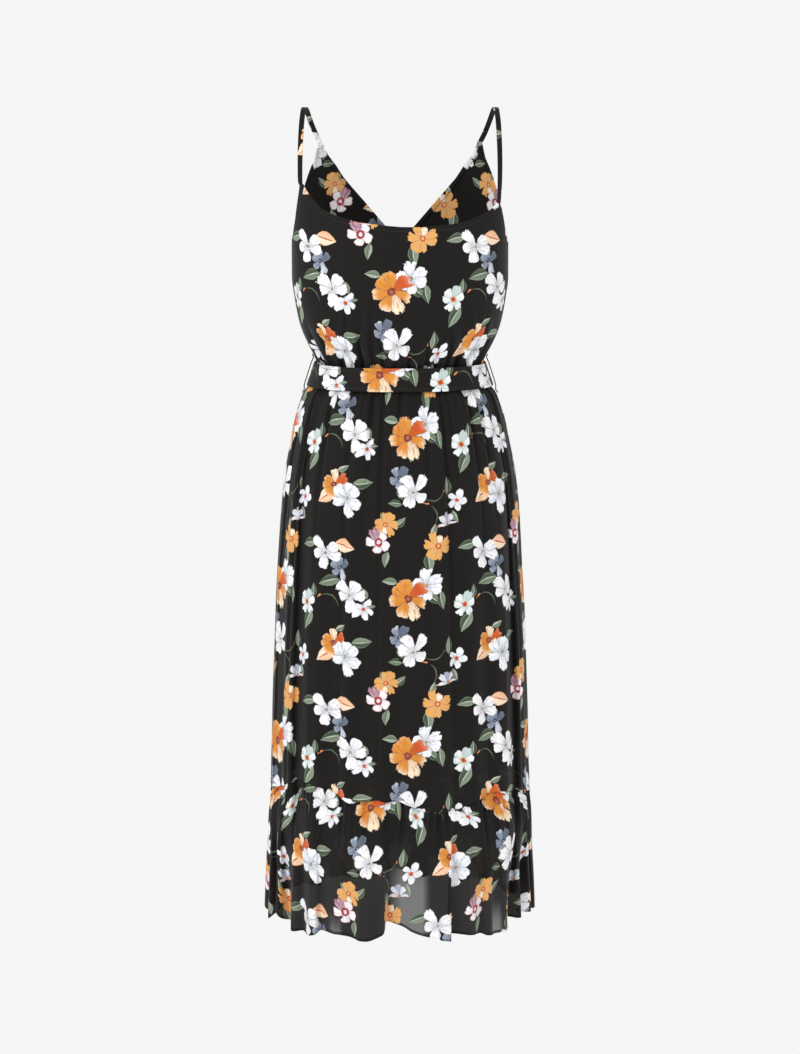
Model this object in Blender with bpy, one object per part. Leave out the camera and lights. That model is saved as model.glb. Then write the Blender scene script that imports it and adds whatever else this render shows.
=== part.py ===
"""A long sleeveless dress of light printed cloth, filled out with no wearer in it.

Metres, +Z up. The back of the dress faces -Y and +X is to the right as the back is seen. The origin
is midway between the tops of the two shoulder straps, where a wearer holds the dress up. Each
cut and sewn piece is a closed shell of its own, and neighbours are a hair apart at their seams.
"""

import math
from collections import namedtuple

import bmesh
import bpy
import numpy as np

for item in list(bpy.data.objects):
    bpy.data.objects.remove(item, do_unlink=True)

# Walls and seams
CLOTH = 0.0012
BELT_CLOTH = 0.0015
SEAM = 0.0003

# Colours and roughness
PRINTED = (0.030, 0.025, 0.023)
BLACK = (0.012, 0.011, 0.011)
CREPE = 0.75
LINING_CREPE = 0.80

# Heights of the seams and hems
BODICE_BOTTOM = -0.4190
SKIRT_TOP = BODICE_BOTTOM - SEAM
SKIRT_BOTTOM = -1.0880
RUFFLE_TOP = SKIRT_BOTTOM - SEAM
RUFFLE_BOTTOM = -1.2980
LINING_TOP = SKIRT_TOP
LINING_BOTTOM = -1.0460
BELT_TOP = -0.4000
BELT_BOTTOM = -0.4360

# Straps and belt loops
STRAP_WIDTH = 0.0080
STRAP_THICKNESS = 0.0016
LOOP_WIDTH = 0.0030
LOOP_THICKNESS = 0.0016
LOOP_CLEAR = SEAM + LOOP_THICKNESS / 2
STRAP_STATIONS = 25

# The outline as rings: the crests of the cloth lie on them and the folds go in from them
Section = namedtuple("Section", "height half_width back_depth front_depth squareness")

BODICE = [
    Section(-0.4190, 0.1330, 0.1010, 0.1010, 2.2),
    Section(-0.4015, 0.1330, 0.1015, 0.1015, 2.2),
    Section(-0.3910, 0.1365, 0.1060, 0.1070, 2.2),
    Section(-0.3720, 0.1460, 0.1130, 0.1150, 2.3),
    Section(-0.3530, 0.1545, 0.1170, 0.1205, 2.4),
    Section(-0.3340, 0.1605, 0.1190, 0.1240, 2.5),
    Section(-0.2960, 0.1675, 0.1200, 0.1280, 2.6),
    Section(-0.2640, 0.1715, 0.1195, 0.1300, 2.6),
    Section(-0.2230, 0.1715, 0.1180, 0.1290, 2.6),
    Section(-0.1740, 0.1710, 0.1145, 0.1210, 2.6),
    Section(-0.1150, 0.1690, 0.1065, 0.1040, 2.6),
    Section(-0.0500, 0.1620, 0.0940, 0.0830, 2.6),
]

SKIRT = [
    Section(-1.0880, 0.2110, 0.1570, 0.1570, 2.1),
    Section(-0.9950, 0.2080, 0.1550, 0.1550, 2.1),
    Section(-0.8170, 0.2020, 0.1530, 0.1530, 2.1),
    Section(-0.7390, 0.1980, 0.1520, 0.1510, 2.1),
    Section(-0.6610, 0.1930, 0.1500, 0.1480, 2.1),
    Section(-0.5830, 0.1860, 0.1460, 0.1430, 2.1),
    Section(-0.5250, 0.1755, 0.1390, 0.1360, 2.1),
    Section(-0.4870, 0.1675, 0.1310, 0.1290, 2.1),
    Section(-0.4675, 0.1610, 0.1250, 0.1240, 2.2),
    Section(-0.4485, 0.1540, 0.1175, 0.1175, 2.2),
    Section(-0.4370, 0.1450, 0.1100, 0.1100, 2.2),
    Section(-0.4193, 0.1355, 0.1030, 0.1030, 2.2),
]

RUFFLE = [
    Section(-1.3060, 0.2240, 0.2000, 0.2000, 2.0),
    Section(-1.2550, 0.2220, 0.1940, 0.1940, 2.0),
    Section(-1.2150, 0.2200, 0.1875, 0.1875, 2.0),
    Section(-1.1750, 0.2175, 0.1800, 0.1800, 2.1),
    Section(-1.1350, 0.2160, 0.1715, 0.1715, 2.1),
    Section(-1.1070, 0.2135, 0.1640, 0.1640, 2.1),
    Section(-1.0883, 0.2110, 0.1570, 0.1570, 2.1),
    Section(-1.0550, 0.2100, 0.1563, 0.1563, 2.1),
]

LINING = [
    Section(-1.0460, 0.1880, 0.1370, 0.1370, 2.1),
    Section(-0.8000, 0.1830, 0.1360, 0.1360, 2.1),
    Section(-0.6230, 0.1730, 0.1330, 0.1310, 2.1),
    Section(-0.5230, 0.1600, 0.1240, 0.1220, 2.1),
    Section(-0.4490, 0.1420, 0.1070, 0.1070, 2.2),
    Section(-0.4193, 0.1275, 0.0955, 0.0955, 2.2),
]

BELT = [
    Section(-0.4360, 0.1490, 0.1140, 0.1140, 2.2),
    Section(-0.4000, 0.1365, 0.1055, 0.1055, 2.2),
]

# The top edges, from the +X underarm over the strap corner to the neck and down the other side
Edge = namedtuple("Edge", "across height")

BACK_EDGE = [
    Edge(0.1715, -0.2180),
    Edge(0.1680, -0.2000),
    Edge(0.1640, -0.1820),
    Edge(0.1610, -0.1660),
    Edge(0.1565, -0.1480),
    Edge(0.1510, -0.1470),
    Edge(0.1370, -0.1590),
    Edge(0.1030, -0.1730),
    Edge(0.0730, -0.1775),
    Edge(0.0360, -0.1810),
    Edge(0.0000, -0.1805),
    Edge(-0.0290, -0.1780),
    Edge(-0.0630, -0.1740),
    Edge(-0.0850, -0.1685),
    Edge(-0.1030, -0.1625),
    Edge(-0.1220, -0.1535),
    Edge(-0.1510, -0.1195),
    Edge(-0.1565, -0.1190),
    Edge(-0.1610, -0.1480),
    Edge(-0.1640, -0.1720),
    Edge(-0.1680, -0.1970),
    Edge(-0.1715, -0.2180),
]
BACK_CORNERS = (4, 5, 16, 17)

FRONT_EDGE_HALF = [
    Edge(0.1715, -0.2180),
    Edge(0.1690, -0.1980),
    Edge(0.1630, -0.1620),
    Edge(0.1530, -0.1250),
    Edge(0.1430, -0.0960),
    Edge(0.1365, -0.0810),
    Edge(0.1310, -0.0575),
    Edge(0.1240, -0.0570),
    Edge(0.1166, -0.0750),
    Edge(0.1025, -0.0940),
    Edge(0.0900, -0.1140),
    Edge(0.0740, -0.1330),
    Edge(0.0567, -0.1530),
    Edge(0.0407, -0.1720),
    Edge(0.0200, -0.1960),
    Edge(0.0000, -0.2180),
]
FRONT_CORNERS = (6, 7, 23, 24)

# Folds go in from the rings. Angles run from the +X side seam round to the -X one, in degrees.
Fold = namedtuple("Fold", "angle half_angle depth_above depth_below above below lean")

BACK_BODICE_FOLDS = [
    Fold(24, 9, 0.000, 0.0050, -0.300, -0.389, 6),
    Fold(50, 8, 0.000, 0.0060, -0.270, -0.389, 9),
    Fold(66, 7, 0.000, 0.0050, -0.290, -0.389, 6),
    Fold(104, 6, 0.000, 0.0045, -0.310, -0.389, -3),
    Fold(116, 7, 0.000, 0.0060, -0.280, -0.389, -5),
    Fold(131, 7, 0.000, 0.0050, -0.300, -0.389, -8),
    Fold(155, 9, 0.000, 0.0050, -0.310, -0.389, -7),
]

FRONT_BODICE_FOLDS = [
    Fold(26, 9, 0.000, 0.0050, -0.300, -0.389, 6),
    Fold(48, 8, 0.000, 0.0060, -0.280, -0.389, 5),
    Fold(67, 7, 0.000, 0.0050, -0.300, -0.389, 3),
    Fold(86, 6, 0.000, 0.0040, -0.320, -0.389, 1),
    Fold(112, 7, 0.000, 0.0050, -0.290, -0.389, -3),
    Fold(132, 8, 0.000, 0.0060, -0.280, -0.389, -6),
    Fold(154, 9, 0.000, 0.0050, -0.300, -0.389, -6),
]

BACK_SKIRT_FOLDS = [
    Fold(11, 8, 0.001, 0.0040, -0.443, -1.088, 0),
    Fold(29, 7, 0.003, 0.0110, -0.443, -0.900, -2),
    Fold(47, 9, 0.001, 0.0070, -0.463, -1.000, 2),
    Fold(63, 8, 0.003, 0.0090, -0.443, -1.088, 3),
    Fold(78, 7, 0.003, 0.0050, -0.443, -0.900, 2),
    Fold(91, 7, 0.002, 0.0080, -0.443, -1.088, 0),
    Fold(106, 8, 0.003, 0.0060, -0.443, -1.000, -1),
    Fold(122, 8, 0.002, 0.0090, -0.463, -1.088, -2),
    Fold(141, 7, 0.003, 0.0110, -0.443, -0.900, 0),
    Fold(158, 8, 0.001, 0.0060, -0.443, -1.088, 1),
]

FRONT_SKIRT_FOLDS = [
    Fold(13, 8, 0.001, 0.0050, -0.443, -1.088, 0),
    Fold(32, 8, 0.003, 0.0100, -0.443, -0.900, 2),
    Fold(52, 8, 0.002, 0.0080, -0.463, -1.000, 1),
    Fold(70, 8, 0.003, 0.0090, -0.443, -1.088, 1),
    Fold(88, 7, 0.003, 0.0060, -0.443, -0.900, 0),
    Fold(105, 8, 0.002, 0.0080, -0.443, -1.088, -2),
    Fold(124, 8, 0.003, 0.0080, -0.443, -1.000, -2),
    Fold(146, 8, 0.002, 0.0100, -0.443, -0.900, -1),
    Fold(165, 8, 0.001, 0.0050, -0.443, -1.088, 0),
]

BACK_RUFFLE_FOLDS = [
    Fold(10.0, 5.0, 0.0010, 0.0090, RUFFLE_TOP, RUFFLE_BOTTOM, 0),
    Fold(21.5, 6.0, 0.0010, 0.0210, RUFFLE_TOP, RUFFLE_BOTTOM, 1),
    Fold(33.0, 6.5, 0.0010, 0.0260, RUFFLE_TOP, RUFFLE_BOTTOM, -1),
    Fold(45.0, 4.5, 0.0010, 0.0060, RUFFLE_TOP, RUFFLE_BOTTOM, 0),
    Fold(54.5, 4.5, 0.0010, 0.0130, RUFFLE_TOP, RUFFLE_BOTTOM, 0),
    Fold(64.5, 4.5, 0.0010, 0.0220, RUFFLE_TOP, RUFFLE_BOTTOM, -1),
    Fold(77.5, 7.0, 0.0010, 0.0070, RUFFLE_TOP, RUFFLE_BOTTOM, 1),
    Fold(92.0, 6.0, 0.0010, 0.0260, RUFFLE_TOP, RUFFLE_BOTTOM, 0),
    Fold(101.0, 4.5, 0.0010, 0.0110, RUFFLE_TOP, RUFFLE_BOTTOM, 0),
    Fold(111.0, 5.0, 0.0010, 0.0100, RUFFLE_TOP, RUFFLE_BOTTOM, 1),
    Fold(123.5, 6.0, 0.0010, 0.0170, RUFFLE_TOP, RUFFLE_BOTTOM, 0),
    Fold(136.0, 5.5, 0.0010, 0.0150, RUFFLE_TOP, RUFFLE_BOTTOM, 1),
    Fold(148.0, 6.5, 0.0010, 0.0240, RUFFLE_TOP, RUFFLE_BOTTOM, -1),
    Fold(159.5, 4.5, 0.0010, 0.0180, RUFFLE_TOP, RUFFLE_BOTTOM, 0),
    Fold(170.0, 5.0, 0.0010, 0.0110, RUFFLE_TOP, RUFFLE_BOTTOM, 0),
]

FRONT_RUFFLE_FOLDS = [
    Fold(11.0, 5.0, 0.0010, 0.0100, RUFFLE_TOP, RUFFLE_BOTTOM, 0),
    Fold(24.5, 6.5, 0.0010, 0.0240, RUFFLE_TOP, RUFFLE_BOTTOM, 1),
    Fold(35.5, 4.5, 0.0010, 0.0110, RUFFLE_TOP, RUFFLE_BOTTOM, 0),
    Fold(51.0, 6.5, 0.0010, 0.0230, RUFFLE_TOP, RUFFLE_BOTTOM, -1),
    Fold(62.5, 4.5, 0.0010, 0.0080, RUFFLE_TOP, RUFFLE_BOTTOM, 0),
    Fold(72.5, 5.0, 0.0010, 0.0200, RUFFLE_TOP, RUFFLE_BOTTOM, 1),
    Fold(85.0, 5.0, 0.0010, 0.0090, RUFFLE_TOP, RUFFLE_BOTTOM, 0),
    Fold(95.0, 5.5, 0.0010, 0.0240, RUFFLE_TOP, RUFFLE_BOTTOM, 0),
    Fold(108.0, 6.0, 0.0010, 0.0110, RUFFLE_TOP, RUFFLE_BOTTOM, -1),
    Fold(120.0, 5.0, 0.0010, 0.0210, RUFFLE_TOP, RUFFLE_BOTTOM, 1),
    Fold(129.5, 4.5, 0.0010, 0.0090, RUFFLE_TOP, RUFFLE_BOTTOM, 0),
    Fold(144.0, 6.5, 0.0010, 0.0250, RUFFLE_TOP, RUFFLE_BOTTOM, 0),
    Fold(156.5, 4.5, 0.0010, 0.0120, RUFFLE_TOP, RUFFLE_BOTTOM, 1),
    Fold(169.0, 5.0, 0.0010, 0.0140, RUFFLE_TOP, RUFFLE_BOTTOM, 0),
]

# How far an edge rises above its level line, by angle: the ruffle's seam and the hem
Rise = namedtuple("Rise", "angle rise")

BACK_SEAM = [
    Rise(0, 0.000),
    Rise(20, 0.006),
    Rise(37, 0.011),
    Rise(51, 0.007),
    Rise(64, -0.007),
    Rise(80, -0.006),
    Rise(91, 0.008),
    Rise(109, 0.007),
    Rise(122, 0.022),
    Rise(133, 0.030),
    Rise(147, 0.022),
    Rise(165, 0.006),
    Rise(180, 0.000),
]

FRONT_SEAM = [
    Rise(0, 0.000),
    Rise(25, 0.005),
    Rise(50, -0.004),
    Rise(75, 0.006),
    Rise(100, -0.003),
    Rise(125, 0.007),
    Rise(150, 0.002),
    Rise(180, 0.000),
]

BACK_HEM = [
    Rise(0, 0.006),
    Rise(21, 0.012),
    Rise(32, 0.011),
    Rise(39, 0.000),
    Rise(46, 0.000),
    Rise(54, 0.003),
    Rise(63, 0.008),
    Rise(67, 0.000),
    Rise(71, 0.002),
    Rise(78, 0.008),
    Rise(85, 0.019),
    Rise(89, 0.027),
    Rise(93, 0.029),
    Rise(97, 0.014),
    Rise(103, 0.002),
    Rise(110, 0.004),
    Rise(116, 0.010),
    Rise(124, 0.007),
    Rise(132, 0.000),
    Rise(142, 0.000),
    Rise(150, 0.006),
    Rise(158, 0.021),
    Rise(165, 0.000),
    Rise(172, 0.006),
    Rise(180, 0.012),
]

FRONT_HEM = [
    Rise(0, 0.006),
    Rise(12, 0.003),
    Rise(24, 0.010),
    Rise(33, 0.000),
    Rise(44, 0.006),
    Rise(52, 0.015),
    Rise(60, 0.002),
    Rise(72, 0.012),
    Rise(80, 0.001),
    Rise(94, 0.018),
    Rise(102, 0.002),
    Rise(112, 0.004),
    Rise(120, 0.014),
    Rise(131, 0.000),
    Rise(144, 0.016),
    Rise(153, 0.002),
    Rise(162, 0.007),
    Rise(171, 0.002),
    Rise(180, 0.012),
]

# Small gathers at the waist seam, evenly set out and then a little uneven
WAIST_GATHERS = 17
GATHER_DEPTH = 0.0022
GATHER_SHARE = 0.42
BODICE_GATHER_FADE = -0.3580
SKIRT_GATHER_FADE = -0.5030
CARRIED_FADE = -1.2000

# The way a strap goes from the back corner over the shoulder to the front point, on the +X side
Way = namedtuple("Way", "across along height heading")

STRAP = [
    Way(0.1550, -0.0590, -0.1100, 38),
    Way(0.1548, -0.0530, -0.0680, 24),
    Way(0.1532, -0.0400, -0.0290, 10),
    Way(0.1512, -0.0200, -0.0070, 2),
    Way(0.1492, 0.0000, -0.0008, 0),
    Way(0.1465, 0.0200, -0.0060, -4),
    Way(0.1415, 0.0400, -0.0225, -12),
    Way(0.1345, 0.0550, -0.0415, -22),
]


def curve(rows, column, at):
    """A column's value, as a smooth curve over the first column that doesn't overshoot its rows."""
    rows = sorted(rows)
    x = np.array([row[0] for row in rows])
    y = np.array([getattr(row, column) for row in rows])
    step = np.diff(y) / np.diff(x)
    slope = np.zeros(len(x))
    same = step[:-1] * step[1:] > 0
    slope[1:-1][same] = 2 / (1 / step[:-1][same] + 1 / step[1:][same])
    slope[0] = step[0]
    slope[-1] = step[-1]
    at = np.clip(at, x[0], x[-1])
    i = np.clip(np.searchsorted(x, at) - 1, 0, len(x) - 2)
    wide = x[i + 1] - x[i]
    t = (at - x[i]) / wide
    start = (1 + 2 * t) * (1 - t) ** 2 * y[i] + t * (1 - t) ** 2 * wide * slope[i]
    end = t * t * (3 - 2 * t) * y[i + 1] + t * t * (t - 1) * wide * slope[i + 1]
    return start + end


def hollow(angle, width):
    """A round trough: 1 in its middle and 0 from its half width on."""
    return 0.5 + 0.5 * np.cos(math.pi * np.clip(np.abs(angle) / width, 0, 1))


def fold_depth(folds, angle, height):
    total = np.zeros_like(angle + height)
    for fold in folds:
        t = np.clip((fold.above - height) / (fold.above - fold.below), 0, 1)
        t = t * t * (3 - 2 * t)
        depth = fold.depth_above + t * (fold.depth_below - fold.depth_above)
        total = total + depth * hollow(angle - fold.angle - fold.lean * (1 - t), fold.half_angle)
    return total


def gathers(full, faded):
    """Fold rows for the small gathers, full at one height and gone at another."""
    pitch = 180 / WAIST_GATHERS
    rows = []
    for i in range(WAIST_GATHERS):
        angle = pitch * (i + 0.5 + 0.13 * math.sin(2.1 * i))
        depth = GATHER_DEPTH * (0.8 + 0.2 * math.sin(3.7 * i))
        if full > faded:
            rows.append(Fold(angle, pitch * GATHER_SHARE, depth, 0, full, faded, 0))
        else:
            rows.append(Fold(angle, pitch * GATHER_SHARE, 0, depth, faded, full, 0))
    return rows


def carried(folds):
    """The skirt's folds at its lower seam, running out in the upper part of the ruffle."""
    rows = []
    for fold in folds:
        rows.append(Fold(fold.angle, fold.half_angle, fold.depth_below, 0, RUFFLE_TOP, CARRIED_FADE, 0))
    return rows


def ring(sections, folds, side, angle, height):
    """Points on the cloth's outer face. side is -1 for the back and 1 for the front."""
    half = curve(sections, "half_width", height)
    deep = curve(sections, "back_depth" if side < 0 else "front_depth", height)
    power = curve(sections, "squareness", height)
    c = np.cos(np.radians(angle))
    s = np.sin(np.radians(angle))
    reach = (np.abs(c) ** power + np.abs(s) ** power) ** (-1 / power)
    x = reach * c
    y = reach * s
    out_x = np.sign(x) * np.abs(x) ** (power - 1) / half
    out_y = np.sign(y) * np.abs(y) ** (power - 1) / deep
    size = np.hypot(out_x, out_y)
    depth = fold_depth(folds, angle, height)
    x = half * x - out_x / size * depth
    y = deep * y - out_y / size * depth
    return x, side * y


def inward(sections, folds, side, angle, height):
    """The level direction into the cloth at each point, square to the cloth as it is folded."""
    near = 0.05
    x0, y0 = ring(sections, folds, side, angle - near, height)
    x1, y1 = ring(sections, folds, side, angle + near, height)
    size = np.hypot(x1 - x0, y1 - y0)
    return side * (y0 - y1) / size, side * (x1 - x0) / size


def edge_angles(sections, edge):
    """The angle at which each row of a top edge lies on the rings."""
    height = np.array([row.height for row in edge])
    half = curve(sections, "half_width", height)
    power = curve(sections, "squareness", height)
    share = np.clip(np.array([row.across for row in edge]) / half, -1, 1)
    up = np.maximum(1 - np.abs(share) ** power, 0) ** (1 / power)
    angle = np.degrees(np.arctan2(up, share))
    angle[0] = 0
    angle[-1] = 180
    return angle, height


def solid(name, outer, inner, closed, colour, roughness):
    """A closed shell between two grids of points, each rows by columns."""
    rows, columns = outer.shape[:2]
    mesh = bmesh.new()
    out = [[mesh.verts.new(outer[r, c]) for c in range(columns)] for r in range(rows)]
    inn = [[mesh.verts.new(inner[r, c]) for c in range(columns)] for r in range(rows)]
    last = columns if closed else columns - 1
    for c in range(last):
        n = (c + 1) % columns
        for r in range(rows - 1):
            mesh.faces.new((out[r][c], out[r][n], out[r + 1][n], out[r + 1][c]))
            mesh.faces.new((inn[r][c], inn[r + 1][c], inn[r + 1][n], inn[r][n]))
        mesh.faces.new((out[0][c], inn[0][c], inn[0][n], out[0][n]))
        mesh.faces.new((out[-1][c], out[-1][n], inn[-1][n], inn[-1][c]))
    if not closed:
        for r in range(rows - 1):
            mesh.faces.new((out[r][0], out[r + 1][0], inn[r + 1][0], inn[r][0]))
            mesh.faces.new((out[r][-1], inn[r][-1], inn[r + 1][-1], out[r + 1][-1]))
    bmesh.ops.recalc_face_normals(mesh, faces=mesh.faces)
    for face in mesh.faces:
        face.smooth = True
    data = bpy.data.meshes.new(name)
    mesh.to_mesh(data)
    mesh.free()
    material = bpy.data.materials.new(name + "_cloth")
    material.use_nodes = True
    shader = material.node_tree.nodes["Principled BSDF"]
    shader.inputs["Base Color"].default_value = (*colour, 1)
    shader.inputs["Roughness"].default_value = roughness
    data.materials.append(material)
    piece = bpy.data.objects.new(name, data)
    bpy.context.scene.collection.objects.link(piece)
    return piece


def half_shell(name, sections, folds, side, angle, low, high, levels):
    """One panel from side seam to side seam, between two edges given by column."""
    height = low + np.array(levels)[:, None] * (high - low)
    angle = np.broadcast_to(angle, height.shape)
    x, y = ring(sections, folds, side, angle, height)
    in_x, in_y = inward(sections, folds, side, angle, height)
    in_x[:, 0], in_y[:, 0] = -1, 0
    in_x[:, -1], in_y[:, -1] = 1, 0
    x[:, 0] = curve(sections, "half_width", height[:, 0])
    x[:, -1] = -curve(sections, "half_width", height[:, -1])
    y[:, 0] = 0
    y[:, -1] = 0
    y = y + side * SEAM / 2
    outer = np.stack([x, y, height], axis=2)
    inner = np.stack([x + CLOTH * in_x, y + CLOTH * in_y, height], axis=2)
    return solid(name, outer, inner, False, PRINTED, CREPE)


def columns_through(stops, counts):
    """Angles that pass exactly through the stops, with a count of columns in each stretch."""
    parts = [np.linspace(a, b, n, endpoint=False) for a, b, n in zip(stops, stops[1:], counts)]
    return np.concatenate(parts + [[stops[-1]]])


def tube(name, sections, low, high, levels, count, thickness, colour, roughness):
    """A piece that goes all round."""
    angle = np.arange(count) * 360 / count
    back = angle > 180
    height = low + np.array(levels)[:, None] * (high - low)
    height = np.broadcast_to(height, (len(levels), count))
    around = np.broadcast_to(np.where(back, 360 - angle, angle), height.shape)
    points = []
    for side in (1, -1):
        x, y = ring(sections, [], side, around, height)
        in_x, in_y = inward(sections, [], side, around, height)
        points.append(np.stack([x, y, height, in_x, in_y], axis=2))
    points = np.where(back[None, :, None], points[1], points[0])
    outer = points[:, :, :3]
    inner = outer.copy()
    inner[:, :, 0] += thickness * points[:, :, 3]
    inner[:, :, 1] += thickness * points[:, :, 4]
    return solid(name, outer, inner, True, colour, roughness)


def ribbon(name, middle, across, outward, width, thickness, colour):
    """A flat band along a way, with its width and its thickness direction at each point."""
    flat = across * width / 2
    top = middle + outward * thickness / 2
    under = middle - outward * thickness / 2
    outer = np.stack([top - flat, top + flat], axis=1)
    inner = np.stack([under - flat, under + flat], axis=1)
    return solid(name, outer, inner, False, colour, CREPE)


def spline(values, at):
    """A smooth curve through evenly counted values."""
    i = np.clip(at.astype(int), 0, len(values) - 2)
    t = at - i
    padded = np.concatenate([[2 * values[0] - values[1]], values, [2 * values[-1] - values[-2]]])
    p0, p1, p2, p3 = (padded[i + k] for k in range(4))
    return p1 + 0.5 * t * (p2 - p0 + t * (2 * p0 - 5 * p1 + 4 * p2 - p3 + t * (3 * (p1 - p2) + p3 - p0)))


def strap_end(side, angle, height):
    """Where a strap meets a panel: the middle of its wall a seam above its edge, and the heading."""
    angle = np.array([angle])
    height = np.array([height])
    x, y = ring(BODICE, [], side, angle, height)
    in_x, in_y = inward(BODICE, [], side, angle, height)
    x = abs(x[0] + in_x[0] * CLOTH / 2)
    y = y[0] + in_y[0] * CLOTH / 2 + side * SEAM / 2
    heading = math.degrees(math.atan2(abs(in_x[0]), abs(in_y[0])))
    return (x, y, height[0] + SEAM), -side * heading


def strap(name, mirror, back_corner, front_point, back_heading, front_heading):
    """A strap along its way, with its ends square to the panels' edges."""
    rows = [Way(*back_corner, back_heading)] + STRAP + [Way(*front_point, front_heading)]
    way = np.array(rows, dtype=float)
    stations = np.linspace(0, len(way) - 1, STRAP_STATIONS)
    middle = np.stack([spline(way[:, k], stations) for k in range(3)], axis=1)
    heading = np.radians(spline(way[:, 3], stations))
    across = np.stack([np.cos(heading), np.sin(heading), np.zeros(len(heading))], axis=1)
    tangent = np.gradient(middle, axis=0)
    tangent[0] = (0, 0, 1)
    tangent[-1] = (0, 0, -1)
    lengthwise = (across * tangent).sum(axis=1) / (tangent * tangent).sum(axis=1)
    across = across - tangent * lengthwise[:, None]
    across = across / np.linalg.norm(across, axis=1)[:, None]
    outward = np.cross(across, tangent)
    outward = outward / np.linalg.norm(outward, axis=1)[:, None]
    for points in (middle, across, outward):
        points[:, 0] *= mirror
    return ribbon(name, middle, across, outward, STRAP_WIDTH, STRAP_THICKNESS, PRINTED)


# Bodice
BODICE_LEVELS = [0, 0.06, 0.115, 0.18, 0.26, 0.37, 0.52, 0.68, 0.84, 1]
waist_gathers = gathers(BODICE_BOTTOM, BODICE_GATHER_FADE)

back_angle, back_height = edge_angles(BODICE, BACK_EDGE)
back_stops = [0] + [back_angle[k] for k in BACK_CORNERS] + [180]
back_columns = columns_through(back_stops, [9, 1, 36, 1, 9])
half_shell(
    "back_bodice",
    BODICE,
    BACK_BODICE_FOLDS + waist_gathers,
    -1,
    back_columns,
    BODICE_BOTTOM,
    np.interp(back_columns, back_angle, back_height),
    BODICE_LEVELS,
)

front_edge = FRONT_EDGE_HALF + [Edge(-e.across, e.height) for e in FRONT_EDGE_HALF[-2::-1]]
front_angle, front_height = edge_angles(BODICE, front_edge)
right_corners = [front_angle[k] for k in FRONT_CORNERS[:2]]
left_corners = [front_angle[k] for k in FRONT_CORNERS[2:]]
front_stops = [0] + right_corners + [90] + left_corners + [180]
front_columns = columns_through(front_stops, [11, 1, 16, 16, 1, 11])
half_shell(
    "front_bodice",
    BODICE,
    FRONT_BODICE_FOLDS + waist_gathers,
    1,
    front_columns,
    BODICE_BOTTOM,
    np.interp(front_columns, front_angle, front_height),
    BODICE_LEVELS,
)

# Skirt
SKIRT_LEVELS = [0, 0.15, 0.32, 0.50, 0.66, 0.78, 0.87, 0.925, 0.954, 0.977, 1]
SKIRT_COLUMNS = np.linspace(0, 180, 65)
skirt_gathers = gathers(SKIRT_TOP, SKIRT_GATHER_FADE)
for name, folds, seam, side in (
    ("skirt_back", BACK_SKIRT_FOLDS, BACK_SEAM, -1),
    ("skirt_front", FRONT_SKIRT_FOLDS, FRONT_SEAM, 1),
):
    half_shell(
        name,
        SKIRT,
        folds + skirt_gathers,
        side,
        SKIRT_COLUMNS,
        SKIRT_BOTTOM + curve(seam, "rise", SKIRT_COLUMNS),
        np.full(len(SKIRT_COLUMNS), SKIRT_TOP),
        SKIRT_LEVELS,
    )

# Ruffle
RUFFLE_LEVELS = [0, 0.3, 0.6, 0.85, 1]
RUFFLE_COLUMNS = np.linspace(0, 180, 109)
for name, folds, above, seam, hem, side in (
    ("ruffle_back", BACK_RUFFLE_FOLDS, BACK_SKIRT_FOLDS, BACK_SEAM, BACK_HEM, -1),
    ("ruffle_front", FRONT_RUFFLE_FOLDS, FRONT_SKIRT_FOLDS, FRONT_SEAM, FRONT_HEM, 1),
):
    half_shell(
        name,
        RUFFLE,
        folds + carried(above),
        side,
        RUFFLE_COLUMNS,
        RUFFLE_BOTTOM + curve(hem, "rise", RUFFLE_COLUMNS),
        RUFFLE_TOP + curve(seam, "rise", RUFFLE_COLUMNS),
        RUFFLE_LEVELS,
    )


# Lining and belt
LINING_LEVELS = [0, 0.35, 0.6, 0.8, 0.93, 1]
LINING_COLUMNS = 48
BELT_LEVELS = [0, 0.5, 1]
BELT_COLUMNS = 96
tube(
    "skirt_lining",
    LINING,
    LINING_BOTTOM,
    LINING_TOP,
    LINING_LEVELS,
    LINING_COLUMNS,
    CLOTH,
    BLACK,
    LINING_CREPE,
)
tube("belt", BELT, BELT_BOTTOM, BELT_TOP, BELT_LEVELS, BELT_COLUMNS, BELT_CLOTH, PRINTED, CREPE)

# Straps
for name, mirror, corner in (("strap_right", 1, BACK_CORNERS[0]), ("strap_left", -1, BACK_CORNERS[2])):
    point = FRONT_CORNERS[0]
    back_middle = (back_angle[corner] + back_angle[corner + 1]) / 2
    front_middle = (front_angle[point] + front_angle[point + 1]) / 2
    top = max(back_height[corner], back_height[corner + 1])
    back_corner, back_heading = strap_end(-1, back_middle, top)
    front_point, front_heading = strap_end(1, front_middle, front_height[point + 1])
    strap(name, mirror, back_corner, front_point, back_heading, front_heading)

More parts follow.
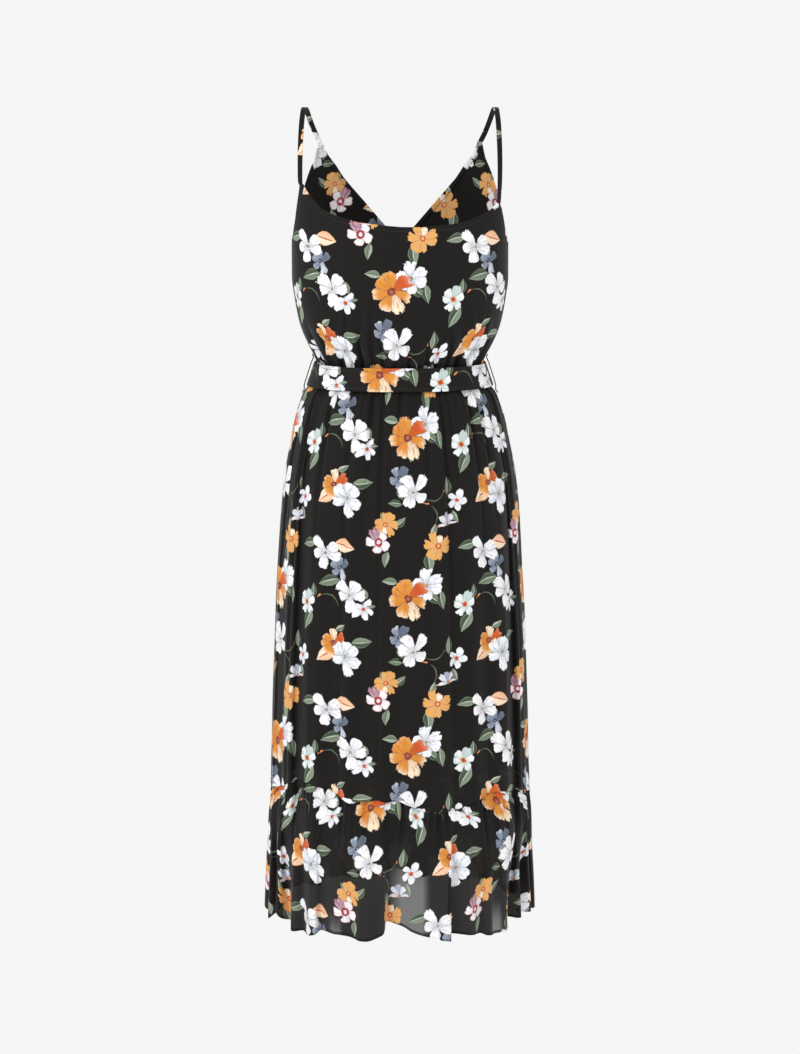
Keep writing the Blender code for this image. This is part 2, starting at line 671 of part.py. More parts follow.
# Belt loops, thin bands over the belt at the side seams, from the bodice above to the skirt below
Rest = namedtuple("Rest", "height across")
LOOP = [
    Rest(-0.3880, curve(BODICE, "half_width", -0.3880) + LOOP_CLEAR),
    Rest(-0.3925, curve(BODICE, "half_width", -0.3925) + LOOP_CLEAR),
    Rest(-0.3970, 0.1390),
    Rest(-0.4020, 0.1410),
    Rest(-0.4130, 0.1446),
    Rest(-0.4230, 0.1478),
    Rest(-0.4320, 0.1507),
    Rest(-0.4380, 0.1522),
    Rest(-0.4440, curve(SKIRT, "half_width", -0.4440) + LOOP_CLEAR),
    Rest(-0.4490, curve(SKIRT, "half_width", -0.4490) + LOOP_CLEAR),
]
for name, mirror in (("belt_loop_right", 1), ("belt_loop_left", -1)):
    middle = np.array([(row.across, 0, row.height) for row in LOOP])
    tangent = np.gradient(middle, axis=0)
    across = np.tile((0.0, 1.0, 0.0), (len(middle), 1))
    outward = np.cross(tangent, across)
    outward = outward / np.linalg.norm(outward, axis=1)[:, None]
    middle[:, 0] *= mirror
    outward[:, 0] *= mirror
    ribbon(name, middle, across, outward, LOOP_WIDTH, LOOP_THICKNESS, BLACK)
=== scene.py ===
"""The looks of a long printed dress with a sheer ruffled hem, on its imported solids."""

import math
from collections import namedtuple

import bpy
import mathutils
import numpy as np
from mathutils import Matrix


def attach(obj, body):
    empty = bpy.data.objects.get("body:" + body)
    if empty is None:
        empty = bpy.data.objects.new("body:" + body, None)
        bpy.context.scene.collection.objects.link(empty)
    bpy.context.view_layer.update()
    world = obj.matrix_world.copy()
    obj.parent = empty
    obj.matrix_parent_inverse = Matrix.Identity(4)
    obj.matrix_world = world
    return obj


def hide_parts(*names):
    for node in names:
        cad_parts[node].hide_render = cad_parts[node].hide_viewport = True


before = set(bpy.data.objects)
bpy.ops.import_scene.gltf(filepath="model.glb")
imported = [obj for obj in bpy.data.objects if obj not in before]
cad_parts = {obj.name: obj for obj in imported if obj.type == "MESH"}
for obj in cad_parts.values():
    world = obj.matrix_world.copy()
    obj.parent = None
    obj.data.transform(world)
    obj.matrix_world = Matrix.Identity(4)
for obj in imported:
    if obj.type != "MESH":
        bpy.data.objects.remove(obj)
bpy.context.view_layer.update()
bpy.ops.object.select_all(action="DESELECT")

# Heights of the seams and hems, as in the solids
WAIST_SEAM = -0.4192
RUFFLE_SEAM = -1.0881
HEM = -1.2980
LINING_HEM = -1.0460
BELT_TOP = -0.4000
BELT_BOTTOM = -0.4360
CARRIED_FADE = -1.2000

# The outline as rings: the crests of the cloth lie on them and the folds go in from them
Section = namedtuple("Section", "height half_width back_depth front_depth squareness")

BODICE = [
    Section(-0.4190, 0.1330, 0.1010, 0.1010, 2.2),
    Section(-0.4015, 0.1330, 0.1015, 0.1015, 2.2),
    Section(-0.3910, 0.1365, 0.1060, 0.1070, 2.2),
    Section(-0.3720, 0.1460, 0.1130, 0.1150, 2.3),
    Section(-0.3530, 0.1545, 0.1170, 0.1205, 2.4),
    Section(-0.3340, 0.1605, 0.1190, 0.1240, 2.5),
    Section(-0.2960, 0.1675, 0.1200, 0.1280, 2.6),
    Section(-0.2640, 0.1715, 0.1195, 0.1300, 2.6),
    Section(-0.2230, 0.1715, 0.1180, 0.1290, 2.6),
    Section(-0.1740, 0.1710, 0.1145, 0.1210, 2.6),
    Section(-0.1150, 0.1690, 0.1065, 0.1040, 2.6),
    Section(-0.0500, 0.1620, 0.0940, 0.0830, 2.6),
]

SKIRT = [
    Section(-1.0880, 0.2110, 0.1570, 0.1570, 2.1),
    Section(-0.9950, 0.2080, 0.1550, 0.1550, 2.1),
    Section(-0.8170, 0.2020, 0.1530, 0.1530, 2.1),
    Section(-0.7390, 0.1980, 0.1520, 0.1510, 2.1),
    Section(-0.6610, 0.1930, 0.1500, 0.1480, 2.1),
    Section(-0.5830, 0.1860, 0.1460, 0.1430, 2.1),
    Section(-0.5250, 0.1755, 0.1390, 0.1360, 2.1),
    Section(-0.4870, 0.1675, 0.1310, 0.1290, 2.1),
    Section(-0.4675, 0.1610, 0.1250, 0.1240, 2.2),
    Section(-0.4485, 0.1540, 0.1175, 0.1175, 2.2),
    Section(-0.4370, 0.1450, 0.1100, 0.1100, 2.2),
    Section(-0.4193, 0.1355, 0.1030, 0.1030, 2.2),
]

RUFFLE = [
    Section(-1.3060, 0.2240, 0.2000, 0.2000, 2.0),
    Section(-1.2550, 0.2220, 0.1940, 0.1940, 2.0),
    Section(-1.2150, 0.2200, 0.1875, 0.1875, 2.0),
    Section(-1.1750, 0.2175, 0.1800, 0.1800, 2.1),
    Section(-1.1350, 0.2160, 0.1715, 0.1715, 2.1),
    Section(-1.1070, 0.2135, 0.1640, 0.1640, 2.1),
    Section(-1.0883, 0.2110, 0.1570, 0.1570, 2.1),
    Section(-1.0550, 0.2100, 0.1563, 0.1563, 2.1),
]

LINING = [
    Section(-1.0460, 0.1880, 0.1370, 0.1370, 2.1),
    Section(-0.8000, 0.1830, 0.1360, 0.1360, 2.1),
    Section(-0.6230, 0.1730, 0.1330, 0.1310, 2.1),
    Section(-0.5230, 0.1600, 0.1240, 0.1220, 2.1),
    Section(-0.4490, 0.1420, 0.1070, 0.1070, 2.2),
    Section(-0.4193, 0.1275, 0.0955, 0.0955, 2.2),
]

BELT = [
    Section(-0.4360, 0.1490, 0.1140, 0.1140, 2.2),
    Section(-0.4000, 0.1365, 0.1055, 0.1055, 2.2),
]

# The top edges, from the +X underarm over the strap corner to the neck and down the other side
Edge = namedtuple("Edge", "across height")

BACK_EDGE = [
    Edge(0.1715, -0.2180),
    Edge(0.1680, -0.2000),
    Edge(0.1640, -0.1820),
    Edge(0.1610, -0.1660),
    Edge(0.1565, -0.1480),
    Edge(0.1510, -0.1470),
    Edge(0.1370, -0.1590),
    Edge(0.1030, -0.1730),
    Edge(0.0730, -0.1775),
    Edge(0.0360, -0.1810),
    Edge(0.0000, -0.1805),
    Edge(-0.0290, -0.1780),
    Edge(-0.0630, -0.1740),
    Edge(-0.0850, -0.1685),
    Edge(-0.1030, -0.1625),
    Edge(-0.1220, -0.1535),
    Edge(-0.1510, -0.1195),
    Edge(-0.1565, -0.1190),
    Edge(-0.1610, -0.1480),
    Edge(-0.1640, -0.1720),
    Edge(-0.1680, -0.1970),
    Edge(-0.1715, -0.2180),
]
BACK_CORNERS = (4, 5, 16, 17)

FRONT_EDGE_HALF = [
    Edge(0.1715, -0.2180),
    Edge(0.1690, -0.1980),
    Edge(0.1630, -0.1620),
    Edge(0.1530, -0.1250),
    Edge(0.1430, -0.0960),
    Edge(0.1365, -0.0810),
    Edge(0.1310, -0.0575),
    Edge(0.1240, -0.0570),
    Edge(0.1166, -0.0750),
    Edge(0.1025, -0.0940),
    Edge(0.0900, -0.1140),
    Edge(0.0740, -0.1330),
    Edge(0.0567, -0.1530),
    Edge(0.0407, -0.1720),
    Edge(0.0200, -0.1960),
    Edge(0.0000, -0.2180),
]
FRONT_CORNERS = (6, 7, 23, 24)

# Folds go in from the rings. Angles run from the +X side seam round to the -X one, in degrees.
Fold = namedtuple("Fold", "angle half_angle depth_above depth_below above below lean")
WAVE_START = 0.001


def waves(*rows):
    """Folds of the ruffle, all from its seam to its hem."""
    return [
        Fold(angle, half_angle, WAVE_START, depth, RUFFLE_SEAM, HEM, lean)
        for angle, half_angle, depth, lean in rows
    ]


def pulls(below, *rows):
    """Folds of the bodice, which start from nothing and deepen toward the waist."""
    return [
        Fold(angle, half_angle, 0, depth, above, below, lean)
        for angle, half_angle, depth, above, lean in rows
    ]


def creases(above, *rows):
    """Folds that all start at one height, just under a seam."""
    return [
        Fold(angle, half_angle, depth_above, depth_below, above, below, lean)
        for angle, half_angle, depth_above, depth_below, below, lean in rows
    ]


BACK_BODICE_FOLDS = pulls(
    -0.389,
    (24, 9, 0.0050, -0.300, 6),
    (50, 8, 0.0060, -0.270, 9),
    (66, 7, 0.0050, -0.290, 6),
    (104, 6, 0.0045, -0.310, -3),
    (116, 7, 0.0060, -0.280, -5),
    (131, 7, 0.0050, -0.300, -8),
    (155, 9, 0.0050, -0.310, -7),
)

FRONT_BODICE_FOLDS = pulls(
    -0.389,
    (26, 9, 0.0050, -0.300, 6),
    (48, 8, 0.0060, -0.280, 5),
    (67, 7, 0.0050, -0.300, 3),
    (86, 6, 0.0040, -0.320, 1),
    (112, 7, 0.0050, -0.290, -3),
    (132, 8, 0.0060, -0.280, -6),
    (154, 9, 0.0050, -0.300, -6),
)

BACK_SKIRT_FOLDS = [
    Fold(11, 8, 0.001, 0.0040, -0.443, -1.088, 0),
    Fold(29, 7, 0.003, 0.0110, -0.443, -0.900, -2),
    Fold(47, 9, 0.001, 0.0070, -0.463, -1.000, 2),
    Fold(63, 8, 0.003, 0.0090, -0.443, -1.088, 3),
    Fold(78, 7, 0.003, 0.0050, -0.443, -0.900, 2),
    Fold(91, 7, 0.002, 0.0080, -0.443, -1.088, 0),
    Fold(106, 8, 0.003, 0.0060, -0.443, -1.000, -1),
    Fold(122, 8, 0.002, 0.0090, -0.463, -1.088, -2),
    Fold(141, 7, 0.003, 0.0110, -0.443, -0.900, 0),
    Fold(158, 8, 0.001, 0.0060, -0.443, -1.088, 1),
]

FRONT_SKIRT_FOLDS = [
    Fold(13, 8, 0.001, 0.0050, -0.443, -1.088, 0),
    Fold(32, 8, 0.003, 0.0100, -0.443, -0.900, 2),
    Fold(52, 8, 0.002, 0.0080, -0.463, -1.000, 1),
    Fold(70, 8, 0.003, 0.0090, -0.443, -1.088, 1),
    Fold(88, 7, 0.003, 0.0060, -0.443, -0.900, 0),
    Fold(105, 8, 0.002, 0.0080, -0.443, -1.088, -2),
    Fold(124, 8, 0.003, 0.0080, -0.443, -1.000, -2),
    Fold(146, 8, 0.002, 0.0100, -0.443, -0.900, -1),
    Fold(165, 8, 0.001, 0.0050, -0.443, -1.088, 0),
]

BACK_RUFFLE_FOLDS = waves(
    (10.0, 5.0, 0.0090, 0),
    (21.5, 6.0, 0.0210, 1),
    (33.0, 6.5, 0.0260, -1),
    (45.0, 4.5, 0.0060, 0),
    (54.5, 4.5, 0.0130, 0),
    (64.5, 4.5, 0.0220, -1),
    (77.5, 7.0, 0.0070, 1),
    (92.0, 6.0, 0.0260, 0),
    (101.0, 4.5, 0.0110, 0),
    (111.0, 5.0, 0.0100, 1),
    (123.5, 6.0, 0.0170, 0),
    (136.0, 5.5, 0.0150, 1),
    (148.0, 6.5, 0.0240, -1),
    (159.5, 4.5, 0.0180, 0),
    (170.0, 5.0, 0.0110, 0),
)

FRONT_RUFFLE_FOLDS = waves(
    (11.0, 5.0, 0.0100, 0),
    (24.5, 6.5, 0.0240, 1),
    (35.5, 4.5, 0.0110, 0),
    (51.0, 6.5, 0.0230, -1),
    (62.5, 4.5, 0.0080, 0),
    (72.5, 5.0, 0.0200, 1),
    (85.0, 5.0, 0.0090, 0),
    (95.0, 5.5, 0.0240, 0),
    (108.0, 6.0, 0.0110, -1),
    (120.0, 5.0, 0.0210, 1),
    (129.5, 4.5, 0.0090, 0),
    (144.0, 6.5, 0.0250, 0),
    (156.5, 4.5, 0.0120, 1),
    (169.0, 5.0, 0.0140, 0),
)

# How far an edge rises above its level line, by angle: the ruffle's seam and the hem
Rise = namedtuple("Rise", "angle rise")


def rises(*rows):
    return [Rise(*row) for row in rows]


BACK_SEAM = rises(
    (0, 0.000), (20, 0.006), (37, 0.011), (51, 0.007), (64, -0.007), (80, -0.006),
    (91, 0.008), (109, 0.007), (122, 0.022), (133, 0.030), (147, 0.022), (165, 0.006),
    (180, 0.000),
)

FRONT_SEAM = rises(
    (0, 0.000), (25, 0.005), (50, -0.004), (75, 0.006), (100, -0.003), (125, 0.007),
    (150, 0.002), (180, 0.000),
)

BACK_HEM = rises(
    (0, 0.006), (21, 0.012), (32, 0.011), (39, 0.000), (46, 0.000), (54, 0.003),
    (63, 0.008), (67, 0.000), (71, 0.002), (78, 0.008), (85, 0.019), (89, 0.027),
    (93, 0.029), (97, 0.014), (103, 0.002), (110, 0.004), (116, 0.010), (124, 0.007),
    (132, 0.000), (142, 0.000), (150, 0.006), (158, 0.021), (165, 0.000), (172, 0.006),
    (180, 0.012),
)

FRONT_HEM = rises(
    (0, 0.006), (12, 0.003), (24, 0.010), (33, 0.000), (44, 0.006), (52, 0.015),
    (60, 0.002), (72, 0.012), (80, 0.001), (94, 0.018), (102, 0.002), (112, 0.004),
    (120, 0.014), (131, 0.000), (144, 0.016), (153, 0.002), (162, 0.007), (171, 0.002),
    (180, 0.012),
)

# Narrow soft creases that only the cloth has, on the back and like ones on the front
SKIRT_CREASES = creases(
    -0.430,
    (20, 3.0, 0.0030, 0.0012, -0.950, 1),
    (38, 2.6, 0.0034, 0.0000, -0.700, 1),
    (46.5, 2.2, 0.0030, 0.0006, -0.820, 1),
    (60.5, 2.0, 0.0026, 0.0000, -0.620, 1),
    (65, 2.4, 0.0036, 0.0012, -1.060, 1),
    (75.7, 2.2, 0.0032, 0.0000, -0.760, 0),
    (90, 2.0, 0.0030, 0.0000, -0.660, 0),
    (99.5, 2.4, 0.0034, 0.0010, -0.900, 0),
    (107, 2.2, 0.0032, 0.0000, -0.700, -1),
    (118, 2.6, 0.0026, 0.0012, -1.060, -1),
    (133, 2.6, 0.0034, 0.0000, -0.720, -1),
    (150, 2.8, 0.0034, 0.0012, -0.980, -1),
    (163, 3.0, 0.0026, 0.0006, -0.850, 0),
)

RUFFLE_CREASES = creases(
    -1.094,
    (6.0, 2.4, 0.0040, 0.0010, -1.230, 0),
    (16.5, 2.0, 0.0052, 0.0000, -1.190, 1),
    (27.5, 2.4, 0.0046, 0.0014, -1.260, -1),
    (38.0, 1.8, 0.0050, 0.0000, -1.170, 0),
    (42.5, 1.8, 0.0036, 0.0010, -1.280, 1),
    (50.0, 2.0, 0.0052, 0.0000, -1.210, 0),
    (58.5, 1.8, 0.0040, 0.0012, -1.290, -1),
    (69.5, 2.0, 0.0050, 0.0000, -1.180, 0),
    (73.0, 1.6, 0.0036, 0.0008, -1.240, 0),
    (82.5, 1.8, 0.0044, 0.0000, -1.160, 1),
    (87.5, 1.8, 0.0054, 0.0010, -1.200, 1),
    (96.5, 1.6, 0.0040, 0.0000, -1.190, -1),
    (105.5, 2.0, 0.0050, 0.0014, -1.270, 0),
    (117.0, 2.2, 0.0050, 0.0000, -1.220, -1),
    (128.5, 2.0, 0.0056, 0.0010, -1.250, 0),
    (141.5, 2.2, 0.0050, 0.0000, -1.200, 1),
    (154.0, 2.2, 0.0046, 0.0012, -1.260, -1),
    (165.0, 2.4, 0.0040, 0.0000, -1.210, 0),
    (174.5, 2.2, 0.0034, 0.0008, -1.240, 0),
)

BODICE_CREASES = pulls(
    -0.385,
    (22, 3.4, 0.0034, -0.330, 6),
    (32, 2.8, 0.0040, -0.310, 8),
    (40, 3.0, 0.0042, -0.300, 7),
    (49, 2.4, 0.0036, -0.325, 6),
    (58, 2.6, 0.0044, -0.290, 9),
    (65, 2.2, 0.0030, -0.340, 4),
    (73, 2.4, 0.0034, -0.310, 4),
    (84, 2.4, 0.0026, -0.345, 1),
    (93, 2.2, 0.0028, -0.330, -1),
    (101, 2.4, 0.0036, -0.300, -2),
    (108, 2.4, 0.0044, -0.285, -4),
    (116, 2.4, 0.0040, -0.295, -6),
    (124, 2.6, 0.0044, -0.280, -8),
    (133, 2.6, 0.0036, -0.315, -8),
    (142, 3.0, 0.0040, -0.305, -9),
    (156, 3.2, 0.0036, -0.330, -6),
)

# Where a fold laps over itself: how far its cloth moves round, in degrees
Tuck = namedtuple("Tuck", "angle half_angle amount above below")

BACK_SKIRT_TUCKS = [
    Tuck(29, 6.0, -4.6, -0.430, -0.560),
    Tuck(141, 6.0, 4.6, -0.430, -0.560),
    Tuck(14, 5.0, -3.4, -0.500, -0.800),
    Tuck(163, 5.0, 3.4, -0.500, -0.800),
]

FRONT_SKIRT_TUCKS = [
    Tuck(32, 6.0, -4.6, -0.430, -0.560),
    Tuck(146, 6.0, 4.6, -0.430, -0.560),
]

BACK_RUFFLE_TUCKS = [
    Tuck(10.0, 4.4, -3.0, -1.095, -1.200),
    Tuck(21.5, 5.2, -4.0, -1.095, -1.170),
    Tuck(33.0, 5.6, -4.6, -1.095, -1.160),
    Tuck(54.5, 4.0, -2.2, -1.110, -1.240),
    Tuck(64.5, 4.2, 3.4, -1.095, -1.190),
    Tuck(92.0, 5.4, 3.4, -1.095, -1.210),
    Tuck(123.5, 5.2, 4.0, -1.095, -1.170),
    Tuck(136.0, 4.8, 2.4, -1.120, -1.240),
    Tuck(148.0, 5.8, 5.0, -1.095, -1.160),
    Tuck(159.5, 4.2, 3.0, -1.095, -1.190),
]

FRONT_RUFFLE_TUCKS = [
    Tuck(24.5, 5.6, -4.2, -1.095, -1.170),
    Tuck(35.5, 4.2, -2.2, -1.110, -1.230),
    Tuck(51.0, 5.6, -4.2, -1.095, -1.180),
    Tuck(72.5, 4.6, 3.2, -1.095, -1.190),
    Tuck(95.0, 5.0, 3.8, -1.095, -1.180),
    Tuck(120.0, 4.6, 3.2, -1.095, -1.180),
    Tuck(144.0, 5.6, 4.4, -1.095, -1.170),
    Tuck(169.0, 4.6, 3.0, -1.095, -1.190),
]

# Stretches between folds where the ruffle hangs as a single layer and light comes through
Thin = namedtuple("Thin", "angle half_angle above below")

BACK_THIN = [
    Thin(84.5, 8.0, -1.150, -1.215),
    Thin(45.0, 4.0, -1.240, -1.290),
    Thin(117.5, 3.5, -1.250, -1.300),
]

FRONT_THIN = [
    Thin(59.0, 6.0, -1.160, -1.220),
    Thin(101.5, 4.0, -1.230, -1.280),
    Thin(135.0, 6.5, -1.150, -1.210),
]


def curve(rows, column, at):
    """A column's value, as a smooth curve over the first column that doesn't overshoot its rows."""
    rows = sorted(rows)
    x = np.array([row[0] for row in rows])
    y = np.array([getattr(row, column) for row in rows])
    step = np.diff(y) / np.diff(x)
    slope = np.zeros(len(x))
    same = step[:-1] * step[1:] > 0
    slope[1:-1][same] = 2 / (1 / step[:-1][same] + 1 / step[1:][same])
    slope[0] = step[0]
    slope[-1] = step[-1]
    at = np.clip(at, x[0], x[-1])
    i = np.clip(np.searchsorted(x, at) - 1, 0, len(x) - 2)
    wide = x[i + 1] - x[i]
    t = (at - x[i]) / wide
    start = (1 + 2 * t) * (1 - t) ** 2 * y[i] + t * (1 - t) ** 2 * wide * slope[i]
    end = t * t * (3 - 2 * t) * y[i + 1] + t * t * (t - 1) * wide * slope[i + 1]
    return start + end


def hollow(angle, width):
    """A round trough: 1 in its middle and 0 from its half width on."""
    return 0.5 + 0.5 * np.cos(math.pi * np.clip(np.abs(angle) / width, 0, 1))


def fold_depth(folds, angle, height):
    total = np.zeros_like(angle + height)
    for fold in folds:
        t = np.clip((fold.above - height) / (fold.above - fold.below), 0, 1)
        t = t * t * (3 - 2 * t)
        depth = fold.depth_above + t * (fold.depth_below - fold.depth_above)
        total = total + depth * hollow(angle - fold.angle - fold.lean * (1 - t), fold.half_angle)
    return total


def carried(folds):
    """The skirt's folds at its lower seam, running out in the upper part of the ruffle."""
    return [Fold(f.angle, f.half_angle, f.depth_below, 0, RUFFLE_SEAM, CARRIED_FADE, 0) for f in folds]


def puckers(angle, height, seam, count, depth, length, seed):
    """Fine gathers that start at a seam and run out unevenly away from it."""
    t = angle / 180
    drift = 0.45 * np.sin(9.1 * t + seed) + 0.3 * np.sin(23.7 * t + 2 * seed)
    wave = 0.5 + 0.5 * np.cos(2 * math.pi * (count * t + drift))
    reach = length * (0.75 + 0.35 * np.sin(31.3 * t + seed) + 0.25 * np.sin(12.9 * t - seed))
    size = depth * (0.8 + 0.3 * np.sin(17.3 * t + 3 * seed))
    edge = np.minimum(t, 1 - t) * 60
    return size * wave * np.exp(-((np.abs(height - seam) / reach) ** 1.4)) * np.clip(edge, 0, 1)


def unevenness(angle, height, size, seed):
    """Slow soft swells, so that no stretch of cloth is perfectly smooth."""
    a = angle / 18
    h = height / 0.07
    swell = np.sin(a + 0.9 * np.sin(h + seed)) * np.sin(0.7 * h + 1.3 * np.sin(0.8 * a + seed))
    fine = np.sin(2.3 * a + h + seed) * np.sin(1.9 * h - 0.6 * a)
    return size * (0.5 + 0.35 * swell + 0.15 * fine)


def ring(sections, side, angle, height, depth):
    """Points on the cloth. side is -1 for the back and 1 for the front, and depth goes in."""
    half = curve(sections, "half_width", height)
    deep = curve(sections, "back_depth" if side < 0 else "front_depth", height)
    power = curve(sections, "squareness", height)
    c = np.cos(np.radians(angle))
    s = np.sin(np.radians(angle))
    reach = (np.abs(c) ** power + np.abs(s) ** power) ** (-1 / power)
    x = reach * c
    y = reach * s
    out_x = np.sign(x) * np.abs(x) ** (power - 1) / half
    out_y = np.sign(y) * np.abs(y) ** (power - 1) / deep
    size = np.hypot(out_x, out_y)
    x = half * x - out_x / size * depth
    y = deep * y - out_y / size * depth
    return x, side * y


def edge_angles(sections, edge):
    """The angle at which each row of a top edge lies on the rings."""
    height = np.array([row.height for row in edge])
    half = curve(sections, "half_width", height)
    power = curve(sections, "squareness", height)
    share = np.clip(np.array([row.across for row in edge]) / half, -1, 1)
    up = np.maximum(1 - np.abs(share) ** power, 0) ** (1 / power)
    angle = np.degrees(np.arctan2(up, share))
    angle[0] = 0
    angle[-1] = 180
    return angle, height


def columns_through(stops, counts):
    """Angles that pass exactly through the stops, with a count of columns in each stretch."""
    parts = [np.linspace(a, b, n, endpoint=False) for a, b, n in zip(stops, stops[1:], counts)]
    return np.concatenate(parts + [[stops[-1]]])


# The print is a small repeat in a layout of its own, in millimetres of flat cloth. Blooms stand
# in three staggered rows, smaller ones are tucked behind them, and leaves are set round them by
# rule. A turn is in degrees, anticlockwise from the right.
Motif = namedtuple("Motif", "across up radius turn kind")
Chart = namedtuple("Chart", "across up blooms under leaves")

WHITE, CRIMSON, OCHRE, PALE, BLUE, SMALL, CREAM, STAR, LILY = range(9)
LEAF, PALE_LEAF, BUD, STEM = range(4)

REPEAT_ACROSS = 270
REPEAT_UP = 250
BLOOMS = [
    Motif(28, 30, 34, 40, OCHRE),
    Motif(124, 18, 20, 10, SMALL),
    Motif(204, 34, 27, 200, WHITE),
    Motif(76, 112, 22, 75, CREAM),
    Motif(160, 98, 28, 330, WHITE),
    Motif(250, 118, 23, 120, CRIMSON),
    Motif(36, 196, 28, 250, WHITE),
    Motif(112, 182, 21, 60, STAR),
    Motif(196, 186, 28, 150, PALE),
]
TUCKED = [
    Motif(58, 50, 26, 100, PALE),
    Motif(226, 12, 20, 140, STAR),
    Motif(184, 76, 20, 20, BLUE),
    Motif(262, 146, 19, 260, CREAM),
    Motif(94, 146, 21, 100, LILY),
    Motif(14, 218, 20, 60, BLUE),
    Motif(172, 206, 24, 30, OCHRE),
]

# What grows beside the blooms, taken in turn, each a golden angle on from the one before
Sprig = namedtuple("Sprig", "radius kind")
SPRIGS = [
    Sprig(12, LEAF),
    Sprig(10, PALE_LEAF),
    Sprig(14, LEAF),
    Sprig(9, LEAF),
    Sprig(16, STEM),
    Sprig(11, LEAF),
    Sprig(8, PALE_LEAF),
    Sprig(13, LEAF),
    Sprig(14, BUD),
]
GOLDEN_ANGLE = 137.5
SPRIG_LEAN = 35
SPRIG_REACH = 0.6


def sprigs_round(blooms, each, first=0):
    """So many leaves, buds or stems at the rim of each bloom, pointing outward with a lean."""
    motifs = []
    for n in range(len(blooms) * each):
        bloom = blooms[n // each]
        radius, kind = SPRIGS[(first + n) % len(SPRIGS)]
        heading = GOLDEN_ANGLE * (first + n) % 360
        away = bloom.radius + SPRIG_REACH * radius
        across = bloom.across + away * math.cos(math.radians(heading))
        up = bloom.up + away * math.sin(math.radians(heading))
        lean = SPRIG_LEAN if n % 2 else -SPRIG_LEAN
        motifs.append(Motif(across, up, radius, heading + lean, kind))
    return motifs


PRINT = Chart(
    REPEAT_ACROSS,
    REPEAT_UP,
    BLOOMS,
    TUCKED,
    sprigs_round(BLOOMS, 2) + sprigs_round(TUCKED, 1, 2 * len(BLOOMS)),
)

SPARE = 50
BLOOM_GROWTH = 1.10
LEAF_GROWTH = 1.28


def repeated(chart, motifs, growth, low, high):
    """Every copy of the motifs that comes near a stretch of cloth, as place, direction and kind."""
    rows = []
    first = [math.floor((low[k] - SPARE) / chart[k]) for k in range(2)]
    last = [math.ceil((high[k] + SPARE) / chart[k]) for k in range(2)]
    for i in range(first[0], last[0]):
        for j in range(first[1], last[1]):
            for n, motif in enumerate(motifs):
                across = motif.across + i * chart.across
                up = motif.up + j * chart.up
                seed = (0.37 * n + 0.11) % 0.9 + 0.05
                turn = math.radians(motif.turn)
                rows.append((across, up, motif.radius * growth, turn, motif.kind + seed))
    return np.array(rows)


def print_on(mesh, chart):
    """Writes on each face which motifs are printed there, for the material to draw."""
    corners = np.zeros(2 * len(mesh.loops))
    mesh.uv_layers["cloth"].data.foreach_get("uv", corners)
    starts = np.zeros(len(mesh.polygons), int)
    mesh.polygons.foreach_get("loop_start", starts)
    totals = np.zeros(len(mesh.polygons), int)
    mesh.polygons.foreach_get("loop_total", totals)
    middle = np.add.reduceat(corners.reshape(-1, 2), starts) / totals[:, None] * 1000
    layers = (
        ("bloom", chart.blooms, BLOOM_GROWTH),
        ("under", chart.under, BLOOM_GROWTH),
        ("leaf", chart.leaves, LEAF_GROWTH),
    )
    for name, motifs, growth in layers:
        rows = repeated(chart, motifs, growth, middle.min(axis=0), middle.max(axis=0))
        nearest = np.zeros(len(middle), int)
        least = np.full(len(middle), np.inf)
        for k, row in enumerate(rows):
            away = np.hypot(middle[:, 0] - row[0], middle[:, 1] - row[1]) / row[2]
            closer = away < least
            nearest[closer] = k
            least[closer] = away[closer]
        row = rows[nearest]
        radius = row[:, 2] / 1000
        place = np.stack([row[:, 0] / 1000, row[:, 1] / 1000, row[:, 4]], axis=1)
        heading = np.stack([np.cos(row[:, 3]) / radius, np.sin(row[:, 3]) / radius, radius], axis=1)
        for label, values in ((name + "_place", place), (name + "_heading", heading)):
            layer = mesh.attributes.new(label, "FLOAT_VECTOR", "FACE")
            layer.data.foreach_set("vector", values.astype(np.float32).ravel())


def sheet_mesh(name, x, y, z, zero, way, shift, closed=False):
    """A cloth from a grid of points, with a UV map in metres of cloth from column zero on."""
    rows, columns = x.shape
    points = np.stack([x, y, z], axis=2).reshape(-1, 3)
    index = np.arange(rows * columns).reshape(rows, columns)
    if closed:
        index, x, y, z = (np.concatenate([grid, grid[:, :1]], axis=1) for grid in (index, x, y, z))
    step = np.hypot(np.diff(x, axis=1), np.diff(y, axis=1))
    along = np.concatenate([np.zeros((rows, 1)), np.cumsum(step, axis=1)], axis=1)
    u = shift[0] / 1000 + (along - along[:, zero : zero + 1]) * way
    v = shift[1] / 1000 + z
    corner = (slice(None, -1), slice(1, None))
    around = [(corner[i], corner[j]) for i, j in ((0, 0), (0, 1), (1, 1), (1, 0))]
    faces = np.stack([index[k] for k in around], axis=2).reshape(-1, 4)
    uv = np.stack([np.stack([u[k], v[k]], axis=2) for k in around], axis=2)
    mesh = bpy.data.meshes.new(name)
    mesh.from_pydata(points.tolist(), [], faces.tolist())
    layer = mesh.uv_layers.new(name="cloth")
    layer.data.foreach_set("uv", uv.astype(np.float32).ravel())
    mesh.update()
    total = sum(face.center.x * face.normal.x + face.center.y * face.normal.y for face in mesh.polygons)
    if total < 0:
        mesh.flip_normals()
    mesh.polygons.foreach_set("use_smooth", [True] * len(mesh.polygons))
    piece = bpy.data.objects.new(name, mesh)
    bpy.context.scene.collection.objects.link(piece)
    return piece


# A turned edge: the cloth rolls in round a small radius and runs back as a facing
Turn = namedtuple("Turn", "radius facing")
RAW = Turn(0.0, 0.0)
ROLL_STEPS = 5
FACING_STEPS = 3

# Stitch lines run along the facings, and the material finds them from a distance in these units
STITCH_SHARE = 0.80
STITCH_SCALE = 0.010
STITCH_HALF = 0.00035
STITCH_PITCH = 0.0028


